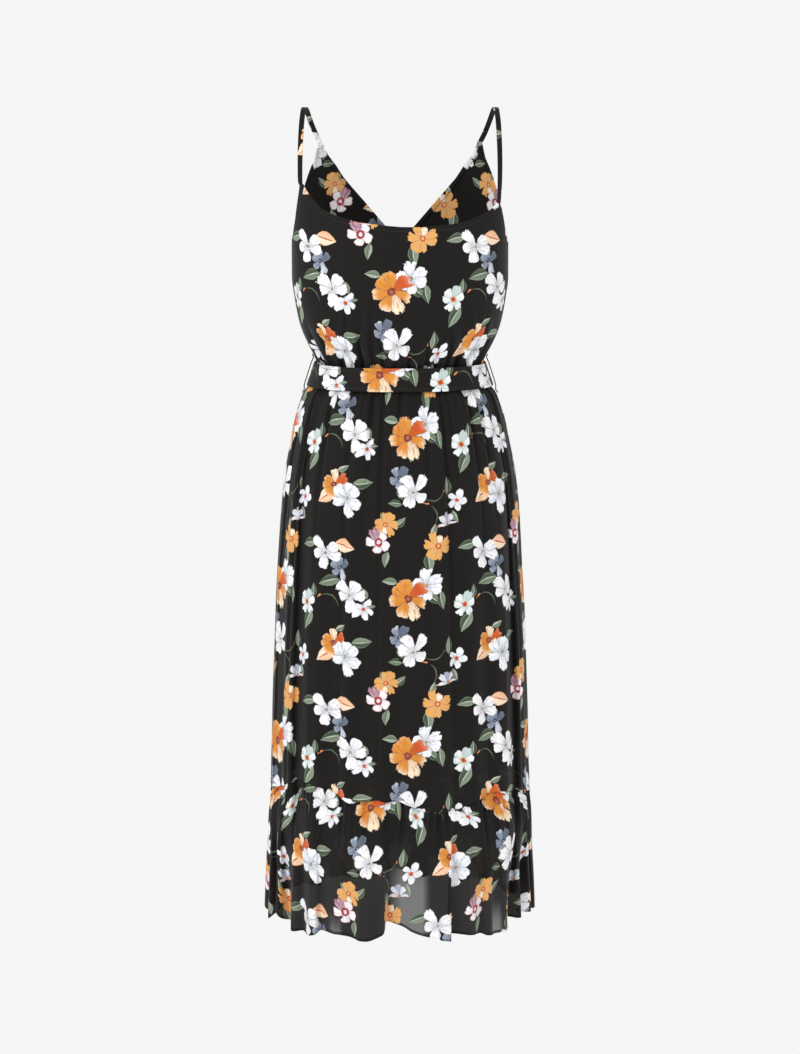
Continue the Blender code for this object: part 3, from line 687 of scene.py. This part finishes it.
def turned(turn):
    """Steps of a turned edge from where it leaves the cloth, as how far back and how far in."""
    if turn.radius == 0:
        return []
    roll = [math.pi * (k + 1) / ROLL_STEPS for k in range(ROLL_STEPS)]
    steps = [(turn.radius * (1 - math.sin(t)), turn.radius * (1 - math.cos(t))) for t in roll]
    run = [(k + 1) / FACING_STEPS for k in range(FACING_STEPS)]
    return steps + [(turn.radius + turn.facing * t, 2 * turn.radius) for t in run]


def heights_of(low, high, rows, low_turn, high_turn):
    """The height of each point and how far in it lies, from the bottom edge to the top one."""
    level = np.linspace(0, 1, rows)[:, None]
    bottom = low + low_turn.radius
    top = high - high_turn.radius
    height = [low + back for back, _ in reversed(turned(low_turn))]
    height += list(bottom + level * (top - bottom))
    height += [high - back for back, _ in turned(high_turn)]
    inside = [deep for _, deep in reversed(turned(low_turn))]
    inside += [0.0] * rows
    inside += [deep for _, deep in turned(high_turn)]
    return np.array(height), np.array(inside)[:, None]


def tuck_shift(tucks, angle, height):
    """How far round the cloth moves where a fold laps over itself."""
    total = np.zeros_like(angle + height)
    for tuck in tucks:
        t = np.clip((tuck.above - height) / (tuck.above - tuck.below), 0, 1)
        total = total + tuck.amount * t * t * (3 - 2 * t) * hollow(angle - tuck.angle, tuck.half_angle)
    return total


def thinness(stretches, angle, height):
    """How far each point lies in one of the single stretches, from 0 to 1."""
    total = np.zeros_like(height)
    for thin in stretches:
        t = np.clip((thin.above - height) / (thin.above - thin.below), 0, 1)
        total = total + t * t * (3 - 2 * t) * np.clip(2 * hollow(angle - thin.angle, thin.half_angle), 0, 1)
    return total


def write_points(piece, name, values):
    layer = piece.data.attributes.new(name, "FLOAT", "POINT")
    layer.data.foreach_set("value", np.ascontiguousarray(values, dtype=np.float32).ravel())


def stitch_edges(piece, height, low, high, edges):
    """Writes how far each point lies from the stitch line of each turned edge, for the material."""
    lines = (("low_stitch", height - low, edges[0]), ("high_stitch", high - height, edges[1]))
    for name, away, turn in lines:
        if turn.facing:
            write_points(piece, name, 1 + (away - STITCH_SHARE * turn.facing) / STITCH_SCALE)


def half_sheet(
    name, sections, folds, tucks, side, angle, low, high, rows, shift, extra, edges=(RAW, RAW), thin=()
):
    """One panel from side seam to side seam, between two edges given by column."""
    height, inside = heights_of(low, high, rows, *edges)
    angle = np.broadcast_to(angle, height.shape)
    depth = fold_depth(folds, angle, height) + extra(angle, height) + inside
    x, y = ring(sections, side, angle + tuck_shift(tucks, angle, height), height, depth)
    piece = sheet_mesh(name, x, y, height, x.shape[1] // 2, side, shift)
    stitch_edges(piece, height, low, high, edges)
    write_points(piece, "thin", thinness(thin, angle, height))
    return piece


def tube_sheet(name, sections, low, high, rows, count, extra, shift, edges=(RAW, RAW)):
    """A cloth that goes all round. Its print is measured from the middle of the back."""
    angle = np.arange(count) * 360 / count
    height, inside = heights_of(low + 0 * angle, high + 0 * angle, rows, *edges)
    angle = np.broadcast_to(angle, height.shape)
    back = angle > 180
    around = np.where(back, 360 - angle, angle)
    depth = extra(angle, height) + inside
    front_x, front_y = ring(sections, 1, around, height, depth)
    back_x, back_y = ring(sections, -1, around, height, depth)
    x = np.where(back, back_x, front_x)
    y = np.where(back, back_y, front_y)
    piece = sheet_mesh(name, x, y, height, count * 3 // 4, 1, shift, closed=True)
    stitch_edges(piece, height, low, high, edges)
    return piece


# Materials
def linear(red, green, blue):
    """A colour as seen on a screen, 0 to 255, as the shader's linear values."""
    out = []
    for value in (red, green, blue):
        value = value / 255
        out.append(value / 12.92 if value <= 0.04045 else ((value + 0.055) / 1.055) ** 2.4)
    return (*out, 1.0)


class Value:
    """A number on a node's socket. Arithmetic on it adds Math nodes."""

    def __init__(self, finish, socket):
        self.finish = finish
        self.socket = socket

    def do(self, operation, *others):
        return self.finish.math(operation, self, *others)

    def __add__(self, other):
        return self.do("ADD", other)

    def __radd__(self, other):
        return self.finish.math("ADD", other, self)

    def __sub__(self, other):
        return self.do("SUBTRACT", other)

    def __rsub__(self, other):
        return self.finish.math("SUBTRACT", other, self)

    def __mul__(self, other):
        return self.do("MULTIPLY", other)

    def __rmul__(self, other):
        return self.finish.math("MULTIPLY", other, self)

    def __truediv__(self, other):
        return self.do("DIVIDE", other)

    def __rtruediv__(self, other):
        return self.finish.math("DIVIDE", other, self)

    def __gt__(self, other):
        return self.do("GREATER_THAN", other)

    def __lt__(self, other):
        return self.do("LESS_THAN", other)

    def __abs__(self):
        return self.do("ABSOLUTE")

    def step(self, low, high):
        """0 below low and 1 above high, smooth between them."""
        node = self.finish.add(
            "ShaderNodeMapRange",
            {"interpolation_type": "SMOOTHSTEP"},
            {"Value": self, "From Min": low, "From Max": high},
        )
        return Value(self.finish, node.outputs["Result"])


class Finish:
    """A material and the nodes that it is made of."""

    def __init__(self, name, **shader):
        self.material = bpy.data.materials.new(name)
        self.material.use_nodes = True
        self.tree = self.material.node_tree
        self.shader = self.tree.nodes["Principled BSDF"]
        for label, value in shader.items():
            self.shader.inputs[label.replace("_", " ")].default_value = value

    def put(self, socket, value):
        if isinstance(value, Value):
            self.tree.links.new(value.socket, socket)
        else:
            socket.default_value = value

    def add(self, kind, settings, inputs):
        node = self.tree.nodes.new(kind)
        for label, value in settings.items():
            setattr(node, label, value)
        for label, value in inputs.items():
            self.put(node.inputs[label], value)
        return node

    def math(self, operation, *values):
        node = self.add("ShaderNodeMath", {"operation": operation}, dict(enumerate(values)))
        return Value(self, node.outputs[0])

    def mix(self, amount, first, second):
        """One colour over another by an amount from 0 to 1."""
        node = self.add(
            "ShaderNodeMix", {"data_type": "RGBA"}, {0: amount, 6: first, 7: second}
        )
        return Value(self, node.outputs[2])

    def split(self, vector):
        node = self.add("ShaderNodeSeparateXYZ", {}, {0: vector})
        return [Value(self, socket) for socket in node.outputs]

    def join(self, x, y, z):
        node = self.add("ShaderNodeCombineXYZ", {}, {0: x, 1: y, 2: z})
        return Value(self, node.outputs[0])

    def attribute(self, name):
        node = self.add("ShaderNodeAttribute", {"attribute_name": name}, {})
        return Value(self, node.outputs["Vector"])

    def amount(self, name):
        node = self.add("ShaderNodeAttribute", {"attribute_name": name}, {})
        return Value(self, node.outputs["Fac"])

    def uv(self):
        node = self.add("ShaderNodeUVMap", {"uv_map": "cloth"}, {})
        return Value(self, node.outputs[0])

    def noise(self, vector, scale, detail=2.0):
        node = self.add(
            "ShaderNodeTexNoise", {}, {"Vector": vector, "Scale": scale, "Detail": detail}
        )
        return Value(self, node.outputs[0])

    def table(self, index, colours):
        """The colour of a row number."""
        node = self.add("ShaderNodeValToRGB", {}, {0: (index + 0.5) / len(colours)})
        ramp = node.color_ramp
        ramp.interpolation = "CONSTANT"
        for i, colour in enumerate(colours):
            stop = ramp.elements[0] if i == 0 else ramp.elements.new(i / len(colours))
            stop.position = i / len(colours)
            stop.color = colour
        ramp.elements.remove(ramp.elements[-1])
        return Value(self, node.outputs[0])

    def use(self, **inputs):
        for label, value in inputs.items():
            self.put(self.shader.inputs[label.replace("_", " ")], value)
        return self.material


# One row for each kind of bloom. Width and taper shape a petal. Mixed is how many petals take
# the second colour, tipped how much of it washes over the ends, and odd whether one petal differs.
# A bloom seen sideways has only the petals that lie ahead of its turn.
Form = namedtuple("Form", "petals width taper heart mixed tipped odd stamens sideways")
Paint = namedtuple("Paint", "petal second odd shade heart core")

BLOOM_FORMS = [
    Form(5, 0.31, 0.80, 0.07, 0.00, 0.10, 0, 1, 0),
    Form(5, 0.34, 0.60, 0.27, 0.00, 0.75, 1, 0, 0),
    Form(7, 0.32, 0.45, 0.17, 0.50, 0.25, 1, 0, 0),
    Form(6, 0.36, 0.20, 0.09, 0.00, 0.15, 0, 1, 0),
    Form(5, 0.35, 0.60, 0.15, 0.45, 0.30, 1, 0, 0),
    Form(6, 0.36, 0.35, 0.20, 0.15, 0.20, 0, 0, 0),
    Form(7, 0.33, 0.40, 0.20, 0.45, 0.40, 0, 0, 0),
    Form(5, 0.25, -0.35, 0.15, 0.00, 0.30, 0, 0, 0),
    Form(8, 0.24, 0.10, 0.13, 0.20, 0.60, 1, 0, 1),
]

BLOOM_PAINTS = [Paint(*row) for row in (
    ((255, 255, 255), (238, 176, 150), (255, 255, 255), (196, 196, 208), (92, 88, 84), (196, 196, 150)),
    ((255, 252, 253), (182, 40, 58), (160, 112, 132), (226, 200, 210), (166, 42, 52), (236, 226, 230)),
    ((228, 152, 62), (252, 236, 206), (212, 86, 34), (196, 104, 40), (132, 56, 42), (178, 110, 92)),
    ((252, 253, 255), (206, 212, 224), (252, 253, 255), (176, 184, 202), (120, 116, 110), (224, 190, 120)),
    ((150, 160, 178), (214, 220, 230), (102, 112, 130), (96, 106, 124), (40, 38, 46), (150, 150, 160)),
    ((250, 254, 252), (206, 220, 218), (250, 254, 252), (172, 190, 190), (212, 112, 52), (168, 62, 40)),
    ((254, 246, 230), (236, 172, 92), (254, 250, 242), (216, 170, 130), (200, 92, 46), (240, 190, 120)),
    ((254, 254, 255), (200, 206, 222), (254, 254, 255), (176, 182, 204), (210, 110, 56), (170, 66, 44)),
    ((240, 243, 250), (226, 150, 112), (176, 188, 208), (160, 170, 192), (222, 136, 84), (190, 92, 66)),
)]

# One row for each kind of leaf, bud or stem
Blade = namedtuple("Blade", "width bend berries")
BladePaint = namedtuple("BladePaint", "body edge vein")

BLADE_FORMS = [
    Blade(0.50, 0.10, 0),
    Blade(0.46, 0.14, 0),
    Blade(0.62, 0.04, 0),
    Blade(0.05, 0.62, 1),
]

BLADE_PAINTS = [
    BladePaint((62, 78, 60), (150, 164, 142), (190, 198, 180)),
    BladePaint((112, 128, 106), (192, 202, 184), (86, 100, 80)),
    BladePaint((252, 232, 204), (232, 160, 104), (206, 96, 56)),
    BladePaint((92, 104, 84), (92, 104, 84), (110, 122, 98)),
]

BERRY = linear(222, 140, 88)


def local_place(finish, name, u, v):
    """Where a point lies on its motif, in the motif's own size and direction, and which motif it is."""
    across, up, code = finish.split(finish.attribute(name + "_place"))
    turn_x, turn_y, _ = finish.split(finish.attribute(name + "_heading"))
    dx = u - across
    dy = v - up
    kind = code.do("FLOOR")
    return dx * turn_x + dy * turn_y, dy * turn_x - dx * turn_y, kind, code - kind


def paints(finish, kind, rows, label):
    return finish.table(kind, [linear(*getattr(row, label)) for row in rows])


def draw_bloom(finish, name, u, v, grain, ragged, under):
    """A bloom's petals and heart over what is under it. Gives the colour and how much it covers."""
    x, y, kind, seed = local_place(finish, name, u, v)
    x = x + (grain - 0.5) * 0.22
    shape = finish.table(kind, [(f.petals / 10, f.width, f.taper / 2 + 0.5, 1) for f in BLOOM_FORMS])
    share = finish.table(kind, [(f.heart, f.mixed, f.tipped, 1) for f in BLOOM_FORMS])
    extras = finish.table(kind, [(f.odd, f.stamens, f.sideways, 1) for f in BLOOM_FORMS])
    tenths, width, taper = finish.split(shape)
    heart, mixed, tipped = finish.split(share)
    has_odd, has_stamens, sideways = finish.split(extras)
    count = (tenths * 10).do("ROUND")

    # Each petal has a length, width and place of its own
    radius = (x * x + y * y).do("SQRT")
    turn = y.do("ARCTAN2", x) / (2 * math.pi) * count
    petal = (turn + 0.5).do("FLOOR")
    number = petal.do("FLOORED_MODULO", count)
    noise = finish.add(
        "ShaderNodeTexWhiteNoise", {"noise_dimensions": "2D"}, {"Vector": finish.join(number, seed, 0.0)}
    )
    one, two, three = finish.split(Value(finish, noise.outputs["Color"]))
    offset = (turn - petal + (one - 0.5) * 0.58) / count * (2 * math.pi)
    along = radius * offset.do("COSINE")
    across = radius * offset.do("SINE")
    long = 0.53 - two * 0.19
    wide = width * (1 + (taper * 2 - 1) * (along - 0.5)) * (0.76 + three * 0.40)
    lengthwise = abs((along - long) / long)
    crosswise = across / wide
    reach = lengthwise.do("POWER", 2.6) + crosswise * crosswise
    reach = reach + (grain - 0.5) * 0.5 + (ragged - 0.5) * 1.3 * along.step(0.35, 0.95)
    reach = reach + (abs(crosswise) * -5).do("EXPONENT") * along.step(0.6, 0.95) * (one * 1.1)
    reach = reach + x.step(-0.02, -0.22) * sideways * 3
    cover = reach.step(1.04, 0.92)

    # Colour, petal by petal, with streaks from the heart outward
    second = paints(finish, kind, BLOOM_PAINTS, "second")
    takes_second = (two < mixed).do("MAXIMUM", (three < mixed) * along.step(0.5, 0.9))
    colour = finish.mix(takes_second, paints(finish, kind, BLOOM_PAINTS, "petal"), second)
    is_odd = (number < 0.5) * has_odd
    colour = finish.mix(is_odd, colour, paints(finish, kind, BLOOM_PAINTS, "odd"))
    wash = (along.step(0.55, 1.0) * three + reach.step(0.55, 1.0) * two) * tipped * (0.4 + ragged * 1.2)
    colour = finish.mix(wash.do("MINIMUM", 1.0), colour, second)
    streak = finish.noise(finish.join(crosswise * 2.6, along * 1.1, number + seed * 9), 2.2)
    shade = streak.step(0.46, 0.76) * 0.80 + along.step(0.62, 0.12) * 0.35
    shade = shade + crosswise.step(0.35, 1.1) * 0.35 * one
    colour = finish.mix(shade.do("MINIMUM", 1.0), colour, paints(finish, kind, BLOOM_PAINTS, "shade"))
    seam = abs(turn - petal).step(0.43, 0.50) * along.step(0.95, 0.40)
    colour = finish.mix(seam * 0.65, colour, linear(96, 96, 104))

    # Stamens or a ring round the heart
    rays = (turn * 12.6 + grain * 9).do("SINE").step(0.35, 0.9) * radius.step(0.34, 0.22)
    colour = finish.mix(rays * has_stamens * 0.6, colour, linear(112, 106, 108))
    pit = (radius + (ragged - 0.5) * 0.16) / heart
    colour = finish.mix(pit.step(1.15, 0.85), colour, paints(finish, kind, BLOOM_PAINTS, "heart"))
    colour = finish.mix(pit.step(0.52, 0.40), colour, paints(finish, kind, BLOOM_PAINTS, "core"))
    cover = cover.do("MAXIMUM", pit.step(1.1, 0.9))
    return finish.mix(cover, under, colour), cover


def draw_leaf(finish, u, v, grain, ragged, under):
    """A leaf, bud or stem over the ground."""
    x, y, kind, seed = local_place(finish, "leaf", u, v)
    width, bend, berries = finish.split(finish.table(kind, [(*b, 1) for b in BLADE_FORMS]))
    y = y - bend * (x * x - 0.35) + (grain - 0.5) * 0.12
    half = (width * (1 - x * x) * (1 - 0.38 * x)).do("MAXIMUM", 0.0001)
    side = y / half
    rim = abs(side) + (ragged - 0.5) * 0.25
    cover = rim.step(1.03, 0.90) * (abs(x) < 1.0)
    edge = paints(finish, kind, BLADE_PAINTS, "edge")
    ribs = ((x * 1.2 - abs(side) * 0.45) * 22 + grain * 4).do("SINE")
    light = side.step(-0.15, 0.35) * 0.60 + ribs.step(0.2, 1.0) * 0.20 + rim.step(0.66, 0.98) * 0.45
    light = light * (0.55 + seed * 0.6)
    colour = finish.mix(light.do("MINIMUM", 1.0), paints(finish, kind, BLADE_PAINTS, "body"), edge)
    colour = finish.mix(abs(side).step(0.15, 0.06), colour, paints(finish, kind, BLADE_PAINTS, "vein"))
    end_x = (x - 0.93) / 0.20
    end_y = y / 0.15
    berry = (end_x * end_x + end_y * end_y).step(1.0, 0.8) * berries
    colour = finish.mix(berry, colour, BERRY)
    cover = cover.do("MAXIMUM", berry)
    return finish.mix(cover, under, colour), cover


GROUND = linear(15, 12, 10)
THREAD = linear(58, 54, 51)
GROUND_ALPHA = 0.981
THIN_ALPHA = 0.80
PRINT_ALPHA = 0.985


def stitching(finish, u):
    """Where thread shows, and the shallow pucker beside it."""
    away = abs(finish.amount("low_stitch") - 1).do("MINIMUM", abs(finish.amount("high_stitch") - 1))
    dash = (u / STITCH_PITCH).do("FRACT").step(0.78, 0.70)
    thread = away.step(STITCH_HALF / STITCH_SCALE, 0.5 * STITCH_HALF / STITCH_SCALE) * dash
    return thread, away.step(6 * STITCH_HALF / STITCH_SCALE, 0.0)


def printed_cloth(name, ground_alpha):
    """Light crepe with the flowered print. The ground is sheerer than the printed flowers."""
    finish = Finish(name, Roughness=0.72, Specular_IOR_Level=0.22, Sheen_Weight=0.08, Sheen_Roughness=0.5)
    uv = finish.uv()
    u, v, _ = finish.split(uv)
    grain = finish.noise(uv, 120.0)
    ragged = finish.noise(uv, 420.0)
    colour, leaf = draw_leaf(finish, u, v, grain, ragged, GROUND)
    colour, under = draw_bloom(finish, "under", u, v, grain, ragged, colour)
    colour, over = draw_bloom(finish, "bloom", u, v, grain, ragged, colour)
    cover = leaf.do("MAXIMUM", under).do("MAXIMUM", over)
    thread, pucker = stitching(finish, u)
    colour = finish.mix(thread * 0.85, colour, THREAD)
    crepe = finish.noise(uv, 2600.0) - pucker * 1.2
    bump = finish.add("ShaderNodeBump", {}, {"Strength": 0.25, "Distance": 0.0003, "Height": crepe})
    thin = finish.amount("thin")
    ground = ground_alpha - thin * (ground_alpha - THIN_ALPHA)
    alpha = ground + cover * (PRINT_ALPHA - ground)
    return finish.use(Base_Color=colour, Alpha=alpha, Normal=Value(finish, bump.outputs[0]))


def plain_cloth(name, colour):
    finish = Finish(name, Roughness=0.85, Specular_IOR_Level=0.2, Sheen_Weight=0.1)
    uv = finish.uv()
    crepe = finish.noise(uv, 1800.0, 1.0)
    thread, pucker = stitching(finish, finish.split(uv)[0])
    height = crepe - pucker
    bump = finish.add("ShaderNodeBump", {}, {"Strength": 0.2, "Distance": 0.0002, "Height": height})
    shade = finish.mix(crepe, colour, tuple(0.6 * c for c in colour[:3]) + (1.0,))
    shade = finish.mix(thread * 0.85, shade, THREAD)
    return finish.use(Base_Color=shade, Normal=Value(finish, bump.outputs[0]))


sheer_print = printed_cloth("sheer_print", GROUND_ALPHA)
double_print = printed_cloth("double_print", 1.0)
lining_cloth = plain_cloth("lining_cloth", linear(22, 20, 20))
edge_cloth = plain_cloth("edge_cloth", linear(24, 22, 22))

# Edges: neck and armholes are faced, the belt is folded, the hem is a narrow roll
NECK_TURN = Turn(0.0011, 0.0090)
BELT_TURN = Turn(0.0008, 0.0060)
HEM_TURN = Turn(0.0008, 0.0035)
LINING_TURN = Turn(0.0008, 0.0120)


# What a panel was cut to: the rectangle round it and its own area, in metres.
Cut = namedtuple("Cut", "flat area")


def dress_sheet(piece, node, material):
    """Puts a cloth on the frame in the place of its solid, with its material and print."""
    printed = material is not lining_cloth
    piece.data.materials.append(material)
    if printed:
        print_on(piece.data, PRINT)
    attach(piece, "root")
    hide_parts(node)


BODICE_ROWS = 90

# How many gathers there are across half the waist and half the ruffle's seam, and how much deeper
# than their tables the creases are drawn
WAIST_GATHERS = 44
RUFFLE_GATHERS = 70
BODICE_CREASE_DEPTH = 1.5
SKIRT_CREASE_DEPTH = 1.7

# The end of a strap lies between the cloth and its facing, so the cloth stands out and up there
Seat = namedtuple("Seat", "angle half_angle height")
SEAT_OUT = 0.0006
SEAT_RISE = 0.0018
SEAT_REACH = 0.0120


def seats_of(angle, height, corners):
    return [
        Seat((angle[k] + angle[k + 1]) / 2, abs(angle[k + 1] - angle[k]) / 2, max(height[k], height[k + 1]))
        for k in corners
    ]


def top_edge(columns, angle, height, seats):
    """The panel's top edge at each column, a little higher over the strap ends."""
    edge = np.interp(columns, angle, height)
    for seat in seats:
        edge = edge + SEAT_RISE * (np.abs(columns - seat.angle) < 1.05 * seat.half_angle)
    return edge


def bodice_form(seed, seats):
    def form(angle, height):
        fine = puckers(angle, height, WAIST_SEAM + 0.020, WAIST_GATHERS, 0.0026, 0.045, seed)
        out = 0
        for seat in seats:
            near = np.clip((height - seat.height + SEAT_REACH) / SEAT_REACH, 0, 1)
            out = out + SEAT_OUT * near * hollow(angle - seat.angle, 2 * seat.half_angle)
        creased = BODICE_CREASE_DEPTH * fold_depth(BODICE_CREASES, angle, height)
        return fine + creased + unevenness(angle, height, 0.0018, seed) - out

    return form


back_angle, back_height = edge_angles(BODICE, BACK_EDGE)
back_seats = seats_of(back_angle, back_height, BACK_CORNERS[::2])
a, b, c, d = (back_angle[k] for k in BACK_CORNERS)
back_columns = columns_through([0, a, b, c, d, 180], [44, 4, 220, 4, 44])
back_bodice = half_sheet(
    "back_bodice_cloth",
    BODICE,
    BACK_BODICE_FOLDS,
    [],
    -1,
    back_columns,
    WAIST_SEAM,
    top_edge(back_columns, back_angle, back_height, back_seats),
    BODICE_ROWS,
    (40, 60),
    bodice_form(0.4, back_seats),
    (RAW, NECK_TURN),
)
dress_sheet(back_bodice, "back_bodice", double_print)

front_edge = FRONT_EDGE_HALF + [Edge(-e.across, e.height) for e in FRONT_EDGE_HALF[-2::-1]]
front_angle, front_height = edge_angles(BODICE, front_edge)
a, b = (front_angle[k] for k in FRONT_CORNERS[:2])
front_seats = seats_of(front_angle, front_height, FRONT_CORNERS[::2])
front_columns = columns_through([0, a, b, 90, 180 - b, 180 - a, 180], [54, 4, 96, 96, 4, 54])
front_bodice = half_sheet(
    "front_bodice_cloth",
    BODICE,
    FRONT_BODICE_FOLDS,
    [],
    1,
    front_columns,
    WAIST_SEAM,
    top_edge(front_columns, front_angle, front_height, front_seats),
    BODICE_ROWS,
    (150, 20),
    bodice_form(1.7, front_seats),
    (RAW, NECK_TURN),
)
dress_sheet(front_bodice, "front_bodice", double_print)

# Skirt and ruffle, joined at a seam that the gathers make slightly uneven
# The skirt is gathered 1.3 to 1 into the waist, and the ruffle, a straight strip, 1.35 to 1
SKIRT_COLUMNS, SKIRT_ROWS = 320, 150
RUFFLE_COLUMNS, RUFFLE_ROWS = 560, 64
LINING_COLUMNS, LINING_ROWS = 200, 60
BELT_COLUMNS, BELT_ROWS = 480, 14


def seam_wander(angle):
    """How far the ruffle's seam rises and falls."""
    return 0.0022 * np.sin(angle / 7.3 + 1.0) + 0.0014 * np.sin(angle / 3.1) + 0.0010 * np.sin(angle / 1.3)


def skirt_form(seed):
    def form(angle, height):
        fine = puckers(angle, height, WAIST_SEAM, WAIST_GATHERS, 0.0026, 0.060, seed)
        creased = SKIRT_CREASE_DEPTH * fold_depth(SKIRT_CREASES, angle, height)
        return fine + creased + unevenness(angle, height, 0.0026, seed)

    return form


def ruffle_form(seed, seam):
    def form(angle, height):
        top = RUFFLE_SEAM + curve(seam, "rise", angle)
        fine = puckers(angle, height, top, RUFFLE_GATHERS, 0.0036, 0.060, seed)
        head = 0.0016 * np.exp(-(((height - top + 0.006) / 0.006) ** 2))
        creased = fold_depth(RUFFLE_CREASES, angle, height)
        return fine + creased + unevenness(angle, height, 0.0034, seed) + 0.0014 - head

    return form


skirt_columns = np.linspace(0, 180, SKIRT_COLUMNS + 1)
ruffle_columns = np.linspace(0, 180, RUFFLE_COLUMNS + 1)
Half = namedtuple(
    "Half", "name side skirt skirt_tucks skirt_print ruffle ruffle_tucks ruffle_print seam hem thin"
)
BACK_HALF = Half(
    "back",
    -1,
    BACK_SKIRT_FOLDS,
    BACK_SKIRT_TUCKS,
    (15, 35),
    BACK_RUFFLE_FOLDS,
    BACK_RUFFLE_TUCKS,
    (85, 120),
    BACK_SEAM,
    BACK_HEM,
    BACK_THIN,
)
FRONT_HALF = Half(
    "front",
    1,
    FRONT_SKIRT_FOLDS,
    FRONT_SKIRT_TUCKS,
    (130, 150),
    FRONT_RUFFLE_FOLDS,
    FRONT_RUFFLE_TUCKS,
    (200, 40),
    FRONT_SEAM,
    FRONT_HEM,
    FRONT_THIN,
)
for n, half in enumerate((BACK_HALF, FRONT_HALF)):
    skirt = half_sheet(
        "skirt_" + half.name + "_cloth",
        SKIRT,
        half.skirt,
        half.skirt_tucks,
        half.side,
        skirt_columns,
        RUFFLE_SEAM + curve(half.seam, "rise", skirt_columns) + seam_wander(skirt_columns),
        WAIST_SEAM,
        SKIRT_ROWS,
        half.skirt_print,
        skirt_form(0.9 + 1.4 * n),
    )
    dress_sheet(skirt, "skirt_" + half.name, sheer_print)
    ruffle = half_sheet(
        "ruffle_" + half.name + "_cloth",
        RUFFLE,
        half.ruffle + carried(half.skirt),
        half.ruffle_tucks + [t._replace(above=CARRIED_FADE, below=RUFFLE_SEAM) for t in half.skirt_tucks],
        half.side,
        ruffle_columns,
        HEM + curve(half.hem, "rise", ruffle_columns),
        RUFFLE_SEAM + curve(half.seam, "rise", ruffle_columns) + seam_wander(ruffle_columns),
        RUFFLE_ROWS,
        half.ruffle_print,
        ruffle_form(0.2 + 1.2 * n, half.seam),
        (HEM_TURN, RAW),
        half.thin,
    )
    dress_sheet(ruffle, "ruffle_" + half.name, sheer_print)

lining = tube_sheet(
    "skirt_lining_cloth",
    LINING,
    LINING_HEM,
    WAIST_SEAM,
    LINING_ROWS,
    LINING_COLUMNS,
    lambda angle, height: unevenness(angle, height, 0.0015, 0.3),
    (0, 0),
    (LINING_TURN, RAW),
)
dress_sheet(lining, "skirt_lining", lining_cloth)

belt = tube_sheet(
    "belt_cloth",
    BELT,
    BELT_BOTTOM,
    BELT_TOP,
    BELT_ROWS,
    BELT_COLUMNS,
    lambda angle, height: unevenness(angle, height, 0.0010, 0.8),
    (60, 440),
    (BELT_TURN, BELT_TURN),
)
dress_sheet(belt, "belt", double_print)

# Straps keep their solids' shape and are cut from the printed cloth. The loops are thread.
for node in ("strap_left", "strap_right"):
    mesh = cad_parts[node].data
    layer = mesh.uv_layers.new(name="cloth")
    spots = [mesh.vertices[loop.vertex_index].co for loop in mesh.loops]
    shift = 0.05 if node == "strap_left" else 0.36
    layer.data.foreach_set("uv", np.array([(p.x + 0.3 * p.y + shift, p.z) for p in spots]).ravel())
    print_on(mesh, PRINT)
    mesh.materials.clear()
    mesh.materials.append(double_print)
for node in ("belt_loop_left", "belt_loop_right"):
    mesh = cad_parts[node].data
    mesh.materials.clear()
    mesh.materials.append(edge_cloth)

# Studio: a pale floor so wide that its edge is level with the eye, and as bright as the backdrop
FLOOR = HEM - 0.60
FLOOR_RADIUS = 60.0
PAPER = (0.04, 0.04, 0.04, 1)
PAPER_GLOW = 0.893

bpy.ops.mesh.primitive_circle_add(
    vertices=96, radius=FLOOR_RADIUS, fill_type="NGON", location=(0, 0, FLOOR)
)
floor = bpy.context.object
floor.name = "studio_floor"
paper = Finish("studio_paper", Roughness=0.9, Specular_IOR_Level=0.0, Emission_Strength=PAPER_GLOW)
floor.data.materials.append(paper.use(Base_Color=PAPER, Emission_Color=(1, 1, 1, 1)))
bpy.ops.object.select_all(action="DESELECT")

bpy.context.scene.view_settings.view_transform = "Standard"

# The camera sees a bright backdrop, and the cloth is lit a little less by it than by the lamps
BACKDROP = 0.92
AMBIENT = 0.62

world = bpy.data.worlds.new("studio")
bpy.context.scene.world = world
world.use_nodes = True
sky = world.node_tree
path = sky.nodes.new("ShaderNodeLightPath")
level = sky.nodes.new("ShaderNodeMapRange")
level.inputs["To Min"].default_value = AMBIENT
level.inputs["To Max"].default_value = BACKDROP
sky.links.new(path.outputs["Is Camera Ray"], level.inputs["Value"])
sky.links.new(level.outputs["Result"], sky.nodes["Background"].inputs["Strength"])
sky.nodes["Background"].inputs["Color"].default_value = (1, 1, 1, 1)


def soft_light(name, place, size, power, aim):
    lamp = bpy.data.lights.new(name, "AREA")
    lamp.size = size
    lamp.energy = power
    light = bpy.data.objects.new(name, lamp)
    bpy.context.scene.collection.objects.link(light)
    light.location = place
    light.rotation_euler = (mathutils.Vector(aim) - light.location).to_track_quat("-Z", "Y").to_euler()


MIDDLE = (0, 0, -0.65)
soft_light("key", (-2.4, -2.8, 1.1), 1.2, 62, MIDDLE)
soft_light("fill", (2.8, -2.6, 0.2), 2.0, 24, MIDDLE)

# Camera at the photograph's height and distance
DISTANCE = 4.7
EYE = 0.0815
SLOPE_DOWN = 0.15894
AIM_DOWN = math.atan(SLOPE_DOWN)
PIXELS_DEEP = 1054
FOCUS_PIXELS = 2974
SENSOR = 24
data = bpy.data.cameras.new("camera")
data.sensor_fit = "VERTICAL"
data.sensor_height = SENSOR
data.sensor_width = SENSOR
data.lens = SENSOR * FOCUS_PIXELS / PIXELS_DEEP
camera = bpy.data.objects.new("camera", data)
camera.location = (0.0, -DISTANCE, EYE)
camera.rotation_euler = (math.pi / 2 - AIM_DOWN, 0, 0)
bpy.context.scene.collection.objects.link(camera)
bpy.context.scene.camera = camera
